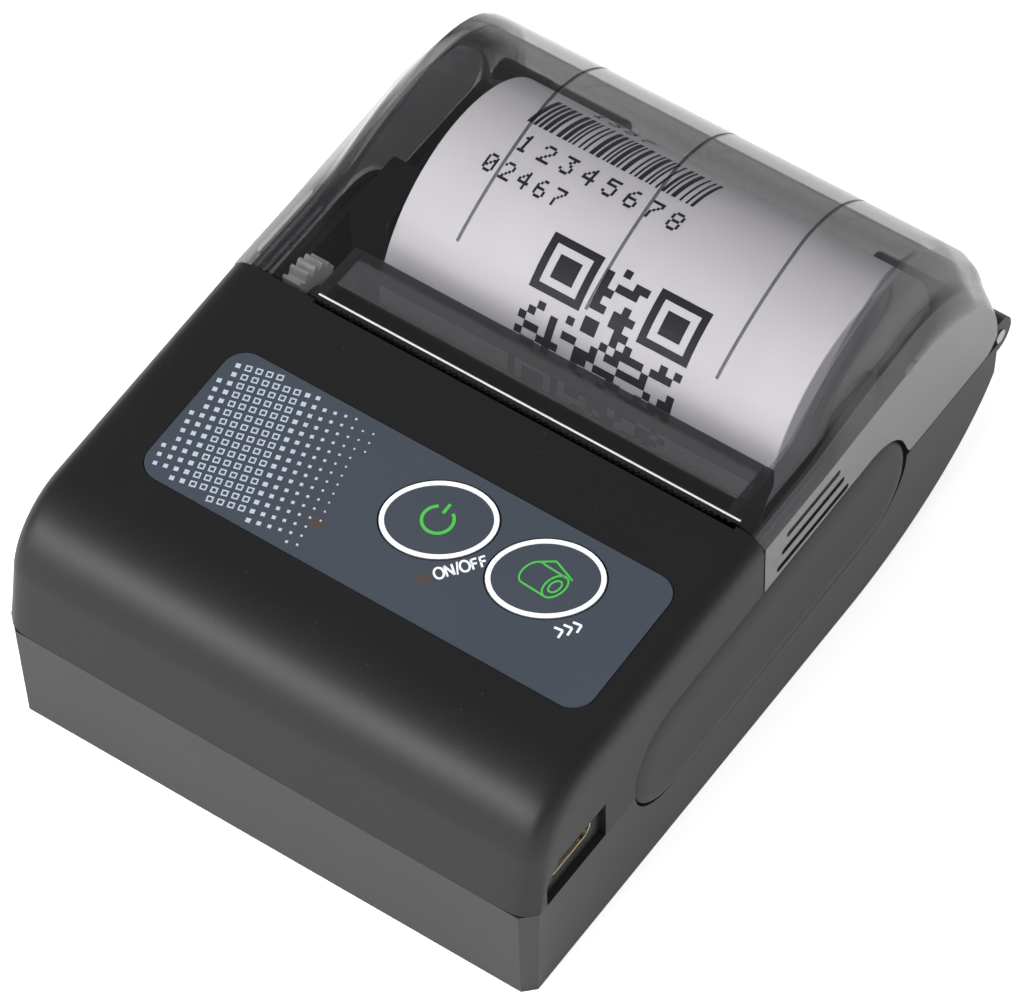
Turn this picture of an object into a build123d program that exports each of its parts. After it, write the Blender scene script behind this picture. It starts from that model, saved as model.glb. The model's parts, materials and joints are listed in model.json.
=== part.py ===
from build123d import *
from math import acos, asin, atan2, cos, degrees, pi, radians, sin, sqrt, tan
import os

# A pocket printer for 57 mm receipt paper, in millimetres.
# X runs across the paper, Y from the front face to the hinge, Z up from the underside.
# Distances along Y are given from the front face and turned into places by behind().

# Paper and roll
paper_width = 57.5
paper_thickness = 0.12
roll_radius = 18.5
core_wall = 1.4
core_bore_radius = 6.0
roll_play = 0.6
tail_start_share = 0.15
tail_below_deck = 1.0

# Casing
left_margin = 13.0
right_margin = 7.5
casing_wall = 2.0
side_draft = 2.0
corner_cut = 1.9
front_seam = 16.8
seam_step = 3.0
seam_gap = 0.2
belly_length = 34.0
belly_rise = 21.5
roll_front_room = 1.4
roll_rear_room = 6.0

# Deck of the top casing and the line where the paper cover begins
cover_line = 49.2
cover_gap = 0.3
deck_height = 37.9
deck_tilt = 3.17
front_lean = 80.9
front_round = 11.6

# Paper mouth between deck and cover
mouth_left_room = 0.5
mouth_right_room = 3.5
mouth_width = 0.7
paper_to_cover = 0.3

# Platen, whose axis lies this far below the deck
platen_drop = 7.7
platen_radius = 4.0
platen_shaft_radius = 1.5
roller_overhang = 0.3
shaft_stand = 0.4
platen_paper_gap = 0.2
bush_radius = 2.5
bush_clearance = 0.05
bush_end_gap = 0.1

# Gear train
gear_module = 0.5
addendum_share = 0.85
dedendum_share = 1.2
pressure_angle = 20.0
platen_teeth = 20
idler_teeth = 22
small_reduction_teeth = 14
large_reduction_teeth = 32
pinion_teeth = 12
gear_width = 2.6
large_gear_width = 2.2
gear_layer_gap = 0.4
gear_side_play = 0.1
gear_pin_radius = 0.8
pin_clearance = 0.05
idler_direction = -90.0
motor_ahead = 3.42
motor_floor_gap = 1.86
backlash = 0.16

# Printing frame
frame_wall = 1.5
frame_ahead = 7.7
frame_behind = 10.8
frame_below_deck = 4.3
frame_foot = 3.0
frame_cheek_gap = 0.7
frame_shoulder = 4.0
frame_slope_run = 5.0
frame_slope_drop = 7.0
foot_length = 5.0
guide_gap = 0.7
guide_thickness = 1.2
guide_from = 0.28
guide_to = 0.86
sensor_at = 0.66
beam_above_board = 3.7
slot_flare = 0.3
slot_lean = 0.4
slot_relief = 20.0

# Print head
head_thickness = 2.6
head_height = 10.6
head_below_deck = 3.3
head_gap = 0.25
head_margin = 2.0
head_bevel_height = 1.5
head_bevel_depth = 1.0
head_pivot_radius = 1.0
head_pivot_rise = 1.2
head_pivot_clearance = 0.05
spring_radius = 2.0
spring_wire = 0.5
spring_gap = 0.4
spring_rise = 6.3
spring_turns = 4

# Feed motor
motor_radius = 7.5
motor_length = 16.0
motor_shaft_radius = 0.75
motor_boss_radius = 2.5
motor_boss_length = 0.8

# Paper cover
cover_wall = 1.6
crease_ahead = 17.0
bracket_wall = 1.4
bracket_length = 10.4
bracket_rise = 3.0
cheek_wall = 1.0
tooth_pitch = 0.95
tooth_depth = 0.3
tooth_height = 0.6
blade_height = 2.4
blade_thickness = 0.5
rib_slot_width = 1.0
rib_slot_depth = 0.4
rib_slot_pitch = 2.4
rib_slot_drop = 4.4
rib_slot_length = 11.7
rib_slot_growth = 2.0
rib_slot_behind = 10.6

# Side views of the cover, each set in by "in" from its widest. The front and the fold are
# heights above the deck. The other points are (distance ahead of the rear face, height above
# the top of the roll).
dome_level = {
    "in": 6.0,
    "front": 0.0,
    "fold": 0.8,
    "rise": (33.0, 0.6),
    "peak": (20.0, 4.3),
    "fall": (12.0, 2.3),
    "back": (6.1, -2.9),
    "tail": (2.0, -8.7),
    "turn": (0.5, -11.7),
    "heel": (0.0, -15.0),
}
edge_level = {
    "in": 4.0,
    "front": 0.0,
    "fold": 0.6,
    "rise": (33.8, -0.6),
    "peak": (21.5, 1.3),
    "fall": (12.5, -0.8),
    "back": (6.8, -4.4),
    "tail": (3.0, -9.1),
    "turn": (0.9, -12.4),
    "heel": (0.1, -16.0),
}
strip_level = {
    "in": 2.8,
    "front": 0.0,
    "fold": 0.4,
    "rise": (33.0, -2.7),
    "peak": (23.0, -1.7),
    "fall": (13.5, -2.8),
    "back": (7.4, -6.1),
    "tail": (3.8, -10.4),
    "turn": (1.6, -13.9),
    "heel": (0.8, -17.5),
}
side_level = {
    "in": 0.0,
    "front": -2.0,
    "fold": -1.8,
    "rise": (33.0, -6.5),
    "peak": (22.0, -6.1),
    "fall": (13.5, -6.5),
    "back": (7.8, -9.3),
    "tail": (5.0, -12.4),
    "turn": (3.1, -15.6),
    "heel": (2.3, -19.0),
}

# Hinge
hinge_stand = 0.2
hinge_below_seam = 1.2
barrel_radius = 2.7
hinge_pin_radius = 1.0
hinge_clearance = 0.05
knuckle_gap = 0.3
knuckle_margin = 1.0
knuckle_length = 7.0
cover_knuckle_length = 12.0
pin_stop = 0.5
pin_stand = 0.2

# Control overlay, keys and lights
overlay_margin = 6.65
overlay_depth = 21.4
overlay_centre_x = 2.15
overlay_ahead = 21.5
overlay_corner = 3.0
overlay_thickness = 0.35
overlay_sink = 0.25
overlay_gap = 0.1
key_length = 14.6
key_width = 11.4
key_tilt = 30
key_gap = 0.15
key_thickness = 1.0
key_pocket = 1.5
key_travel = 0.4
key_ahead = 18.6
power_key_x = 4.9
feed_key_x = 20.3
stem_radius = 2.0
stem_clearance = 0.15
sleeve_wall = 1.0
sleeve_length = 4.0
sleeve_root = 0.2
light_radius = 0.95
first_light_x = -7.1
second_light_x = 8.2
first_light_ahead = 26.8
second_light_ahead = 26.6
light_gap = 0.4
lamp_height = 1.0

# Side grips
grip_ahead = 27.2
grip_rear_margin = 23.0
grip_radius = 8.25
grip_above_seam = 2.0
grip_tilt = 1.3
grip_gap = 0.25
grip_pocket = 1.2
grip_thickness = 1.6
grip_round = 1.2
backing_wall = 1.3

# Main board and its parts
board_above_seam = 2.5
board_thickness = 1.6
board_front = 4.6
board_ahead = 6.0
board_margin = 7.6
port_tongue_margin = 0.9
port_tongue_gap = 1.8
switch_size = 6.0
switch_body = 3.5
switch_plunger_radius = 1.7
switch_plunger = 1.2
switch_gap = 0.1
switch_corner = 0.4
chip_margin = 20.0
chip_distance = 18.0
chip_size = 9.0
radio_margin = 15.0
radio_distance = 21.0
radio_width = 10.0
radio_depth = 8.0
coil_x = -4.0
coil_distance = 12.0
coil_radius = 3.5
coil_height = 3.2
connector_depth = 3.5
connector_margin = 1.0
connector_height = 1.2
post_margin = 11.5
front_post_row = 8.5
rear_post_ahead = 4.0
post_radius = 2.4
post_hole_radius = 0.9

# Charging port
port_width = 9.0
port_height = 3.2
port_depth = 7.4
port_shell = 0.35
port_centre = 9.4
port_opening_gap = 0.25
port_tongue_width = 6.3
port_tongue_thickness = 0.7
port_recess_ahead = 6.0
port_recess_behind = 6.2
port_recess_rise = 4.2
port_recess_depth = 1.0
port_recess_cut = 2.6

# Battery bay
bay_margin = 9.5
bay_front = 6.0
bay_ahead = 3.5
bay_below_seam = 2.2
bay_wall = 1.3
battery_play = 0.6
battery_front_play = 2.0
battery_corner = 3.0
door_thickness = 1.5
door_lap = 2.0
door_gap = 0.25
door_latch_gap = 0.6
latch_width = 12.0
latch_thickness = 1.2
latch_height = 3.0
latch_notch = 2.4
latch_gap = 0.5
contact_pitch = 6.0
contact_width = 1.2
contact_thickness = 0.4
contact_foot = 3.0
contact_toe = 1.6
contact_gap = 0.1

# Screws
screw_radius = 1.0
screw_clearance = 0.1
screw_head_radius = 1.9
screw_head_height = 1.3
screw_sink = 0.6
screw_boss_radius = 2.5
screw_margin = 4.8
front_screw_row = 18.0
rear_screw_ahead = 16.8
screw_grip = 6.0
screw_cross = 2.4
foot_screw_margin = 17.0

# Roll bucket
bucket_wall = 1.0
bucket_gap = 0.6
bucket_side_wall = 1.3
bucket_lip_turn = 12.0
hump_below_deck = 0.9
hump_front_ahead = 15.5
hump_rear_ahead = 6.0
hump_round = 3.4
flank_width = 5.5
flank_above_roll = 2.0
flank_drop = 8.0
rib_width = 40.0
rib_thickness = 2.0
rib_height = 2.4

# Flat cable and paper sensor
cable_width = 20.0
cable_margin = 12.0
cable_thickness = 0.3
cable_bend = 1.2
cable_lap = 2.0
sensor_length = 4.0
sensor_width = 6.0
sensor_thickness = 1.6

# Cuts run this far past the faces that they open, and half planes reach this far
past = 1.0
big = 200.0

casing_width = left_margin + paper_width + right_margin
half_width = casing_width / 2
paper_left = left_margin - half_width
paper_right = paper_left + paper_width
paper_centre = (paper_left + paper_right) / 2
rear_seam = front_seam + seam_step
bracket_rear = cover_line + bracket_length
roll_distance = bracket_rear + roll_front_room + roll_radius
roll_height = casing_wall + rib_height + bucket_wall + bucket_gap + roll_radius
roll_top = roll_height + roll_radius
rear_face = roll_distance + roll_radius + roll_rear_room
belly_start = rear_face - belly_length
hinge_distance = rear_face + hinge_stand
hinge_height = rear_seam - hinge_below_seam
overall_length = hinge_distance + barrel_radius
front_y = -overall_length / 2

mouth_left = paper_left - mouth_left_room
mouth_right = paper_right + mouth_right_room
mouth_edge = cover_line - mouth_width
paper_line = cover_line - paper_to_cover
platen_height = deck_height - platen_drop
platen_distance = paper_line + paper_thickness / 2 + platen_paper_gap + platen_radius
frame_front = cover_line - frame_ahead
frame_rear = cover_line + frame_behind
frame_top = deck_height - frame_below_deck
head_top = deck_height - head_below_deck
head_bottom = head_top - head_height
head_pivot_height = head_bottom + head_pivot_rise

knuckle_outer = half_width - knuckle_margin
knuckle_middle = knuckle_outer - knuckle_length
knuckle_inner = knuckle_middle - cover_knuckle_length
overlay_width = casing_width - 2 * overlay_margin
overlay_centre = cover_line - overlay_ahead
key_centre = cover_line - key_ahead
light_spots = (
    (first_light_x, cover_line - first_light_ahead),
    (second_light_x, cover_line - second_light_ahead),
)
grip_front = cover_line - grip_ahead
grip_rear = rear_face - grip_rear_margin
grip_height = front_seam + grip_above_seam
board_top = front_seam + board_above_seam
beam_bottom = board_top + beam_above_board
board_rear = frame_front - board_ahead
board_half_width = half_width - board_margin
post_rows = (front_post_row, board_rear - rear_post_ahead)
bay_half_width = half_width - bay_margin
bay_rear = frame_front - bay_ahead
bay_roof = front_seam - bay_below_seam
screw_x = half_width - screw_margin
screw_rows = (front_screw_row, cover_line - rear_screw_ahead)
hump_height = deck_height - hump_below_deck
hump_front = roll_distance - hump_front_ahead
hump_rear = roll_distance - hump_rear_ahead
flank_height = roll_height + flank_above_roll
rib_slot_centre = cover_line + rib_slot_behind
rib_slot_top = deck_height - rib_slot_drop

os.makedirs("parts", exist_ok=True)


def behind(distance):
    """Return the Y of a place this far behind the front face."""
    return front_y + distance


def save(part, label):
    """Label a finished piece and write it to its own file."""
    part.label = label
    export_step(part, f"parts/{label}.step")


def deck_at(distance, depth=0.0):
    """Return the height of the deck this far behind the front face, at a depth below its skin."""
    skin = deck_height - (cover_line - distance) * tan(radians(deck_tilt))
    return skin - depth / cos(radians(deck_tilt))


def deck_spot(x, distance, depth=0.0):
    """Return a point of the deck, moved into the casing along the deck's own normal."""
    along = (distance - cover_line) / cos(radians(deck_tilt))
    return deck_plane.from_local_coords(Vector(x, along, -depth))


tilt_sine = sin(radians(deck_tilt))
tilt_cosine = cos(radians(deck_tilt))
deck_plane = Plane(
    origin=(0, behind(cover_line), deck_height),
    x_dir=(1, 0, 0),
    z_dir=(0, -tilt_sine, tilt_cosine),
)


def deck_level(depth):
    """Return the deck's plane moved this deep into the casing."""
    return deck_plane.offset(-depth)


def deck_local(x, distance):
    """Return a place on the deck's plane from its distance behind the front face."""
    return (x, (distance - cover_line) / tilt_cosine)


def key_outline(grow):
    """Sketch one key's oval outline, turned on the deck and grown all round."""
    with BuildSketch() as outline:
        Ellipse(key_length / 2 + grow, key_width / 2 + grow, rotation=key_tilt)
    return outline.sketch


def plan_outline(inset):
    """Sketch the casing seen from above, with cut corners, drawn inside the real one by inset."""
    with BuildSketch() as plan:
        with Locations((0, behind(rear_face / 2))):
            Rectangle(casing_width, rear_face)
        chamfer(plan.vertices(), corner_cut)
        if inset > 0:
            offset(amount=-inset, kind=Kind.INTERSECTION)
    return plan.sketch


def lower_body(inset):
    """Build the casing's lower body: drafted sides and a belly that rises as a quarter ellipse."""
    with BuildPart() as body:
        with BuildSketch(Plane.XY.offset(rear_seam)):
            add(plan_outline(inset))
        extrude(amount=-rear_seam, taper=side_draft)
        with BuildSketch(Plane.YZ):
            with BuildLine():
                flat = Line((behind(-inset), inset), (behind(belly_start), inset))
                belly = EllipticalCenterArc(
                    (behind(belly_start), belly_rise),
                    rear_face - belly_start - inset,
                    belly_rise - inset,
                    start_angle=-90,
                    arc_size=90,
                )
                Polyline(belly @ 1, (behind(-inset), belly_rise), flat @ 0)
            make_face()
        extrude(amount=half_width, both=True, mode=Mode.INTERSECT)
    return body.part


def grip_outline(grow):
    """Sketch a side grip seen from the side, a long round-ended shape grown all round by grow."""
    length = grip_rear - grip_front + 2 * grow
    height = 2 * (grip_radius + grow)
    with BuildSketch() as outline:
        with Locations(Location((behind((grip_front + grip_rear) / 2), grip_height), grip_tilt)):
            SlotOverall(length, height)
    return outline.sketch


def side_plane(x):
    """Return the plane of a side view at this X, with Y and Z as its own directions."""
    return Plane.YZ.offset(x)


hinge_line = (behind(hinge_distance), hinge_height)
roll_line = (behind(roll_distance), roll_height)
platen_line = (behind(platen_distance), platen_height)


def screw_spots():
    """Return the places of the four casing screws."""
    return [(side * screw_x, behind(row)) for side in (-1, 1) for row in screw_rows]


foot_row = frame_rear - foot_length / 2
foot_screw_x = half_width - foot_screw_margin
foot_spots = [(side * foot_screw_x, behind(foot_row)) for side in (-1, 1)]
post_x = half_width - post_margin
post_spots = [(side * post_x, behind(row)) for side in (-1, 1) for row in post_rows]

# Bottom casing: a shell with the battery bay, screw bosses, grip backing and hinge knuckles
bay_half_outer = bay_half_width + bay_wall
with BuildPart() as bottom_casing:
    add(lower_body(0))
    add(lower_body(casing_wall), mode=Mode.SUBTRACT)
    with BuildSketch(Plane.XY.offset(front_seam)):
        with Locations((0, behind(cover_line / 2 - past))):
            Rectangle(casing_width + 2 * past, cover_line + 2 * past)
    extrude(amount=rear_seam, mode=Mode.SUBTRACT)
    with BuildSketch(Plane.XY.offset(casing_wall / 2)):
        with Locations((0, behind((bay_front + bay_rear) / 2))):
            Rectangle(2 * bay_half_outer, bay_rear - bay_front + 2 * bay_wall)
    extrude(amount=bay_roof + bay_wall - casing_wall / 2)
    with BuildSketch(Plane.XY.offset(-past)):
        with Locations((0, behind((bay_front + bay_rear) / 2))):
            Rectangle(2 * bay_half_width, bay_rear - bay_front)
    extrude(amount=bay_roof + past, mode=Mode.SUBTRACT)
    with BuildSketch(Plane.XY):
        with Locations((0, behind((bay_front + bay_rear) / 2))):
            Rectangle(2 * (bay_half_width + door_lap), bay_rear - bay_front + 2 * door_lap)
    extrude(amount=door_thickness, mode=Mode.SUBTRACT)
    with BuildSketch(Plane.XY.offset(bay_roof - past)):
        with Locations((0, behind(bay_rear - contact_foot))):
            with GridLocations(contact_pitch, 1, 3, 1):
                Rectangle(contact_width + 2 * door_gap, contact_thickness + 4 * door_gap)
    extrude(amount=bay_wall + 2 * past, mode=Mode.SUBTRACT)
    with BuildSketch(Plane.XY.offset(casing_wall / 2)):
        with Locations(*screw_spots()):
            Circle(screw_boss_radius)
    extrude(amount=front_seam - casing_wall / 2)
    with BuildSketch(Plane.XY.offset(casing_wall / 2)):
        with Locations(*foot_spots):
            Circle(screw_boss_radius)
    extrude(amount=frame_foot - casing_wall / 2)
    with BuildSketch(Plane.XY.offset(bay_roof + bay_wall)):
        with Locations(*post_spots):
            Circle(post_radius)
            Circle(post_hole_radius, mode=Mode.SUBTRACT)
    extrude(amount=board_top - board_thickness - bay_roof - bay_wall)
    with BuildSketch(Plane.XY.offset(casing_wall)):
        with Locations((0, behind(roll_distance))):
            Rectangle(rib_width, rib_thickness)
    extrude(amount=roll_height - roll_radius - bucket_gap - bucket_wall - casing_wall)
    with Locations(*[(x, y, 0) for x, y in screw_spots()]):
        Cylinder(screw_radius, big, mode=Mode.SUBTRACT)
        Cylinder(
            screw_head_radius + screw_clearance,
            screw_sink + screw_head_height,
            align=(Align.CENTER, Align.CENTER, Align.MIN),
            mode=Mode.SUBTRACT,
        )
    with Locations(*[(x, y, frame_foot) for x, y in foot_spots]):
        Cylinder(
            screw_radius,
            frame_foot - casing_wall / 2,
            align=(Align.CENTER, Align.CENTER, Align.MAX),
            mode=Mode.SUBTRACT,
        )
    for side in (-1, 1):
        pocket_floor = half_width - grip_pocket
        with BuildSketch(side_plane(side * pocket_floor)):
            add(grip_outline(grip_gap))
        extrude(amount=side * 2 * grip_pocket, mode=Mode.SUBTRACT)
        with BuildSketch(side_plane(side * pocket_floor)):
            add(grip_outline(-grip_gap))
            with Locations((behind(cover_line / 2), grip_height)):
                Rectangle(cover_line + 2 * cover_gap, big, mode=Mode.SUBTRACT)
            with Locations((behind(cover_line), front_seam - big / 2)):
                Rectangle(big, big, mode=Mode.SUBTRACT)
        extrude(amount=-side * backing_wall)
        with BuildSketch(side_plane(side * knuckle_middle)):
            with Locations(hinge_line):
                Circle(barrel_radius)
        extrude(amount=side * (knuckle_outer - knuckle_middle))
        with BuildSketch(side_plane(side * (knuckle_inner - knuckle_gap))):
            with Locations(hinge_line):
                Circle(barrel_radius + knuckle_gap)
        extrude(amount=side * (knuckle_middle - knuckle_inner + knuckle_gap), mode=Mode.SUBTRACT)
        with BuildSketch(side_plane(side * knuckle_inner)):
            with Locations(hinge_line):
                Circle(hinge_pin_radius)
        extrude(amount=side * half_width, mode=Mode.SUBTRACT)
save(bottom_casing.part, "bottom_casing")


def top_outline(inset, low, rear):
    """Sketch the top casing from the side: a leaning front, a large round and the deck."""
    lean = 1 / tan(radians(front_lean))
    slope = tan(radians(deck_tilt))
    foot = inset / sin(radians(front_lean))
    roof = deck_at(0, inset)
    corner_z = (roof + slope * (foot - front_seam * lean)) / (1 - slope * lean)
    corner = (behind(foot + (corner_z - front_seam) * lean), corner_z)
    with BuildSketch() as outline:
        Polygon(
            (behind(foot + (low - front_seam) * lean), low),
            corner,
            (behind(rear), deck_at(rear, inset)),
            (behind(rear), low),
            align=None,
        )
        fillet(outline.vertices().sort_by_distance(corner)[0], front_round - inset)
    return outline.sketch


def overlay_outline(grow):
    """Sketch the control overlay's outline on the deck's plane, grown all round."""
    with BuildSketch() as outline:
        with Locations(deck_local(overlay_centre_x, overlay_centre)):
            RectangleRounded(overlay_width + 2 * grow, overlay_depth + 2 * grow, overlay_corner)
    return outline.sketch


key_places = [deck_local(power_key_x, key_centre), deck_local(feed_key_x, key_centre)]
light_places = [deck_local(x, distance) for x, distance in light_spots]
port_height_centre = board_top + port_height / 2
port_recess_front = port_centre - port_recess_ahead
port_recess_rear = port_centre + port_recess_behind
port_recess_top = board_top + port_recess_rise
top_seam = front_seam + seam_gap
top_rear = cover_line - cover_gap / 2

# Top casing: the front shell with its deck, overlay recess, key guides and paper mouth
with BuildPart() as top_casing:
    with BuildSketch(Plane.YZ):
        add(top_outline(0, top_seam, top_rear))
    extrude(amount=half_width, both=True)
    side_edges = (
        top_casing.faces().sort_by(Axis.X)[0].edges() + top_casing.faces().sort_by(Axis.X)[-1].edges()
    )
    skin_edges = [
        edge
        for edge in side_edges
        if edge.center().Z > top_seam + past and edge.center().Y < behind(top_rear) - past
    ]
    chamfer(skin_edges, corner_cut)
    with BuildSketch(Plane.YZ):
        add(top_outline(casing_wall, top_seam - past, top_rear + past))
    extrude(amount=half_width - casing_wall, both=True, mode=Mode.SUBTRACT)
    with BuildSketch(Plane.XY.offset(top_seam)):
        with Locations(*screw_spots()):
            Circle(screw_boss_radius)
    extrude(until=Until.NEXT)
    with BuildSketch(Plane.XY.offset(top_seam)):
        with Locations(*screw_spots()):
            Circle(screw_radius)
    extrude(amount=screw_grip + past, mode=Mode.SUBTRACT)
    with BuildSketch(deck_level(casing_wall - sleeve_root)):
        with Locations(*key_places):
            Circle(stem_radius + stem_clearance + sleeve_wall)
    extrude(amount=-sleeve_length)
    with BuildSketch(deck_level(overlay_sink)):
        add(overlay_outline(overlay_gap))
    extrude(amount=2 * overlay_sink, mode=Mode.SUBTRACT)
    with BuildSketch(deck_level(key_pocket)):
        with Locations(*key_places):
            add(key_outline(key_gap))
    extrude(amount=2 * key_pocket, mode=Mode.SUBTRACT)
    with BuildSketch(deck_level(2 * sleeve_length)):
        with Locations(*key_places):
            Circle(stem_radius + stem_clearance)
        with Locations(*light_places):
            Circle(light_radius)
    extrude(amount=3 * sleeve_length, mode=Mode.SUBTRACT)
    mouth_middle = (mouth_left + mouth_right) / 2
    with BuildSketch(Plane.XY.offset(deck_height - 2 * casing_wall)):
        with Locations((mouth_middle, behind(mouth_edge + cover_line / 2))):
            Rectangle(mouth_right - mouth_left, cover_line)
    extrude(amount=4 * casing_wall, mode=Mode.SUBTRACT)
    with BuildSketch(side_plane(half_width - port_recess_depth)):
        Polygon(
            (behind(port_recess_front), top_seam - past),
            (behind(port_recess_front), port_recess_top - port_recess_cut),
            (behind(port_recess_front + port_recess_cut), port_recess_top),
            (behind(port_recess_rear), port_recess_top),
            (behind(port_recess_rear), top_seam - past),
            align=None,
        )
    extrude(amount=2 * port_recess_depth, mode=Mode.SUBTRACT)
    with BuildSketch(side_plane(half_width - 2 * casing_wall)):
        with Locations((behind(port_centre), port_height_centre)):
            SlotOverall(port_width + 2 * port_opening_gap, port_height + 2 * port_opening_gap)
    extrude(amount=3 * casing_wall, mode=Mode.SUBTRACT)
    for side in (-1, 1):
        with BuildSketch(side_plane(side * (half_width - grip_pocket))):
            add(grip_outline(grip_gap))
        extrude(amount=side * 2 * grip_pocket, mode=Mode.SUBTRACT)
save(top_casing.part, "top_casing")

# Control overlay: a printed film in its recess, open round the two keys
with BuildPart() as control_overlay:
    with BuildSketch(deck_level(overlay_sink)):
        add(overlay_outline(0))
        with Locations(*key_places):
            add(key_outline(key_gap), mode=Mode.SUBTRACT)
        with Locations(*light_places):
            Circle(light_radius, mode=Mode.SUBTRACT)
    extrude(amount=overlay_thickness)
save(control_overlay.part, "control_overlay")

# Keys: oval caps level with the overlay, each on a round stem that reaches its switch
key_crown = overlay_thickness - overlay_sink
switch_top = board_top + switch_body + switch_plunger
stem_end = (deck_at(key_centre) - switch_top - switch_gap) / tilt_cosine - key_travel
for name, key_x in (("power_key", power_key_x), ("feed_key", feed_key_x)):
    with BuildPart() as key:
        with BuildSketch(deck_level(key_thickness - key_crown)):
            with Locations(deck_local(key_x, key_centre)):
                add(key_outline(0))
        extrude(amount=key_thickness)
        with BuildSketch(deck_level(stem_end)):
            with Locations(deck_local(key_x, key_centre)):
                Circle(stem_radius)
        extrude(amount=stem_end - key_thickness + key_crown)
    save(key.part, name)

# Status lights: two clear rods from the overlay down to the lamps on the board
light_length = (deck_at(light_spots[0][1]) - board_top - lamp_height) / tilt_cosine - light_gap
with BuildPart() as status_lights:
    with BuildSketch(deck_level(light_length)):
        with Locations(*light_places):
            Circle(light_radius)
    extrude(amount=light_length + key_crown)
save(status_lights.part, "status_lights")

# Side grips: round-ended cushions with a rounded rim, seated in pockets on both sides
for name, side in (("side_grip_left", -1), ("side_grip_right", 1)):
    with BuildPart() as grip:
        with BuildSketch(side_plane(side * (half_width - grip_pocket))):
            add(grip_outline(0))
        extrude(amount=side * grip_thickness)
        rim = grip.faces().sort_by(Axis.X)[0 if side < 0 else -1].edges()
        fillet(rim, grip_round)
    save(grip.part, name)

# Charging port: a drawn metal shell with a contact tongue inside
port_mouth = half_width - port_recess_depth
with BuildPart() as usb_port:
    with BuildSketch(side_plane(port_mouth)):
        with Locations((behind(port_centre), port_height_centre)):
            SlotOverall(port_width, port_height)
    extrude(amount=-port_depth)
    with BuildSketch(side_plane(port_mouth)):
        with Locations((behind(port_centre), port_height_centre)):
            SlotOverall(port_width - 2 * port_shell, port_height - 2 * port_shell)
    extrude(amount=-port_depth + 2 * port_shell, mode=Mode.SUBTRACT)
    with BuildSketch(side_plane(port_mouth - port_depth + port_shell)):
        with Locations((behind(port_centre), port_height_centre)):
            Rectangle(port_tongue_width, port_tongue_thickness)
    extrude(amount=port_depth - 3 * port_shell)
save(usb_port.part, "usb_port")


def tooth_points(teeth, module, tooth, thin):
    """Return four corners of one gear tooth: two at its root and two at its tip."""
    pitch_radius = teeth * module / 2
    root = pitch_radius - dedendum_share * module
    tip = pitch_radius + addendum_share * module
    middle = 2 * pi * tooth / teeth
    half = (pi / 2 - thin / module) / teeth
    flank = tan(radians(pressure_angle)) / pitch_radius
    low = half + flank * (pitch_radius - root)
    high = half - flank * (tip - pitch_radius)
    corners = ((root, -low), (tip, -high), (tip, high), (root, low))
    return [(r * cos(middle + a), r * sin(middle + a)) for r, a in corners]


def gear_outline(teeth, centre, turn):
    """Sketch a gear wheel seen from the side, with its first tooth turned to this angle."""
    points = []
    for tooth in range(teeth):
        points += tooth_points(teeth, gear_module, tooth, backlash / 2)
    with BuildSketch() as outline:
        with Locations(Location(centre, turn)):
            Polygon(*points, align=None)
    return outline.sketch


def mesh_distance(first, second):
    """Return the distance between the centres of two wheels in mesh."""
    return (first + second) * gear_module / 2


def beside(centre, distance, direction):
    """Return a point at this distance and direction from a centre in the side view."""
    angle = radians(direction)
    return (centre[0] + distance * cos(angle), centre[1] + distance * sin(angle))


def direction_to(first, second):
    """Return the direction in degrees from one point of the side view to another."""
    return degrees(atan2(second[1] - first[1], second[0] - first[0]))


def meeting(first, first_reach, second, second_reach):
    """Return the point at these distances from two points, on the side nearer the front."""
    span = sqrt((second[0] - first[0]) ** 2 + (second[1] - first[1]) ** 2)
    cosine = (first_reach**2 + span**2 - second_reach**2) / (2 * first_reach * span)
    return beside(first, first_reach, direction_to(first, second) - degrees(acos(cosine)))


def meshing_turn(teeth, other_teeth, other_turn, direction):
    """Return the turn that puts a tooth gap of one wheel on the tooth of its mate."""
    phase = (direction - other_turn) * other_teeth / 360
    return direction + 180 + (0.5 + phase) * 360 / teeth


idler_line = beside(platen_line, mesh_distance(platen_teeth, idler_teeth), idler_direction)
pinion_line = (platen_line[0] - motor_ahead, casing_wall + motor_floor_gap + motor_radius)
reduction_line = meeting(
    idler_line,
    mesh_distance(idler_teeth, small_reduction_teeth),
    pinion_line,
    mesh_distance(large_reduction_teeth, pinion_teeth),
)
reduction_direction = direction_to(idler_line, reduction_line)
pinion_direction = direction_to(reduction_line, pinion_line)
platen_turn = 0.0
idler_turn = meshing_turn(idler_teeth, platen_teeth, platen_turn, idler_direction)
small_turn = meshing_turn(small_reduction_teeth, idler_teeth, idler_turn, reduction_direction)
large_turn = 0.0
pinion_turn = meshing_turn(pinion_teeth, large_reduction_teeth, large_turn, pinion_direction)

cheek_left = paper_left - head_margin
cheek_right = paper_right + head_margin
plate_left = cheek_left - frame_cheek_gap
plate_right = cheek_right + frame_cheek_gap
left_face = plate_left - frame_wall
gear_near = left_face - gear_layer_gap
gear_far = gear_near - gear_width
large_near = gear_far
large_far = large_near - large_gear_width
motor_place = plate_left + motor_boss_length


def wheel(turn_outline, near, far, bore):
    """Build a gear wheel between two X places with a bore through it."""
    sketch, centre = turn_outline
    with BuildPart() as body:
        with BuildSketch(side_plane(far)):
            add(sketch)
        extrude(amount=near - far)
        with BuildSketch(side_plane(far)):
            with Locations(centre):
                Circle(bore)
        extrude(amount=near - far, mode=Mode.SUBTRACT)
    return body.part


head_face = paper_line - paper_thickness / 2 - head_gap
head_left = paper_left + head_margin
head_right = paper_right - head_margin
head_pivot_line = (behind(head_face - head_thickness / 2), head_pivot_height)

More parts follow.
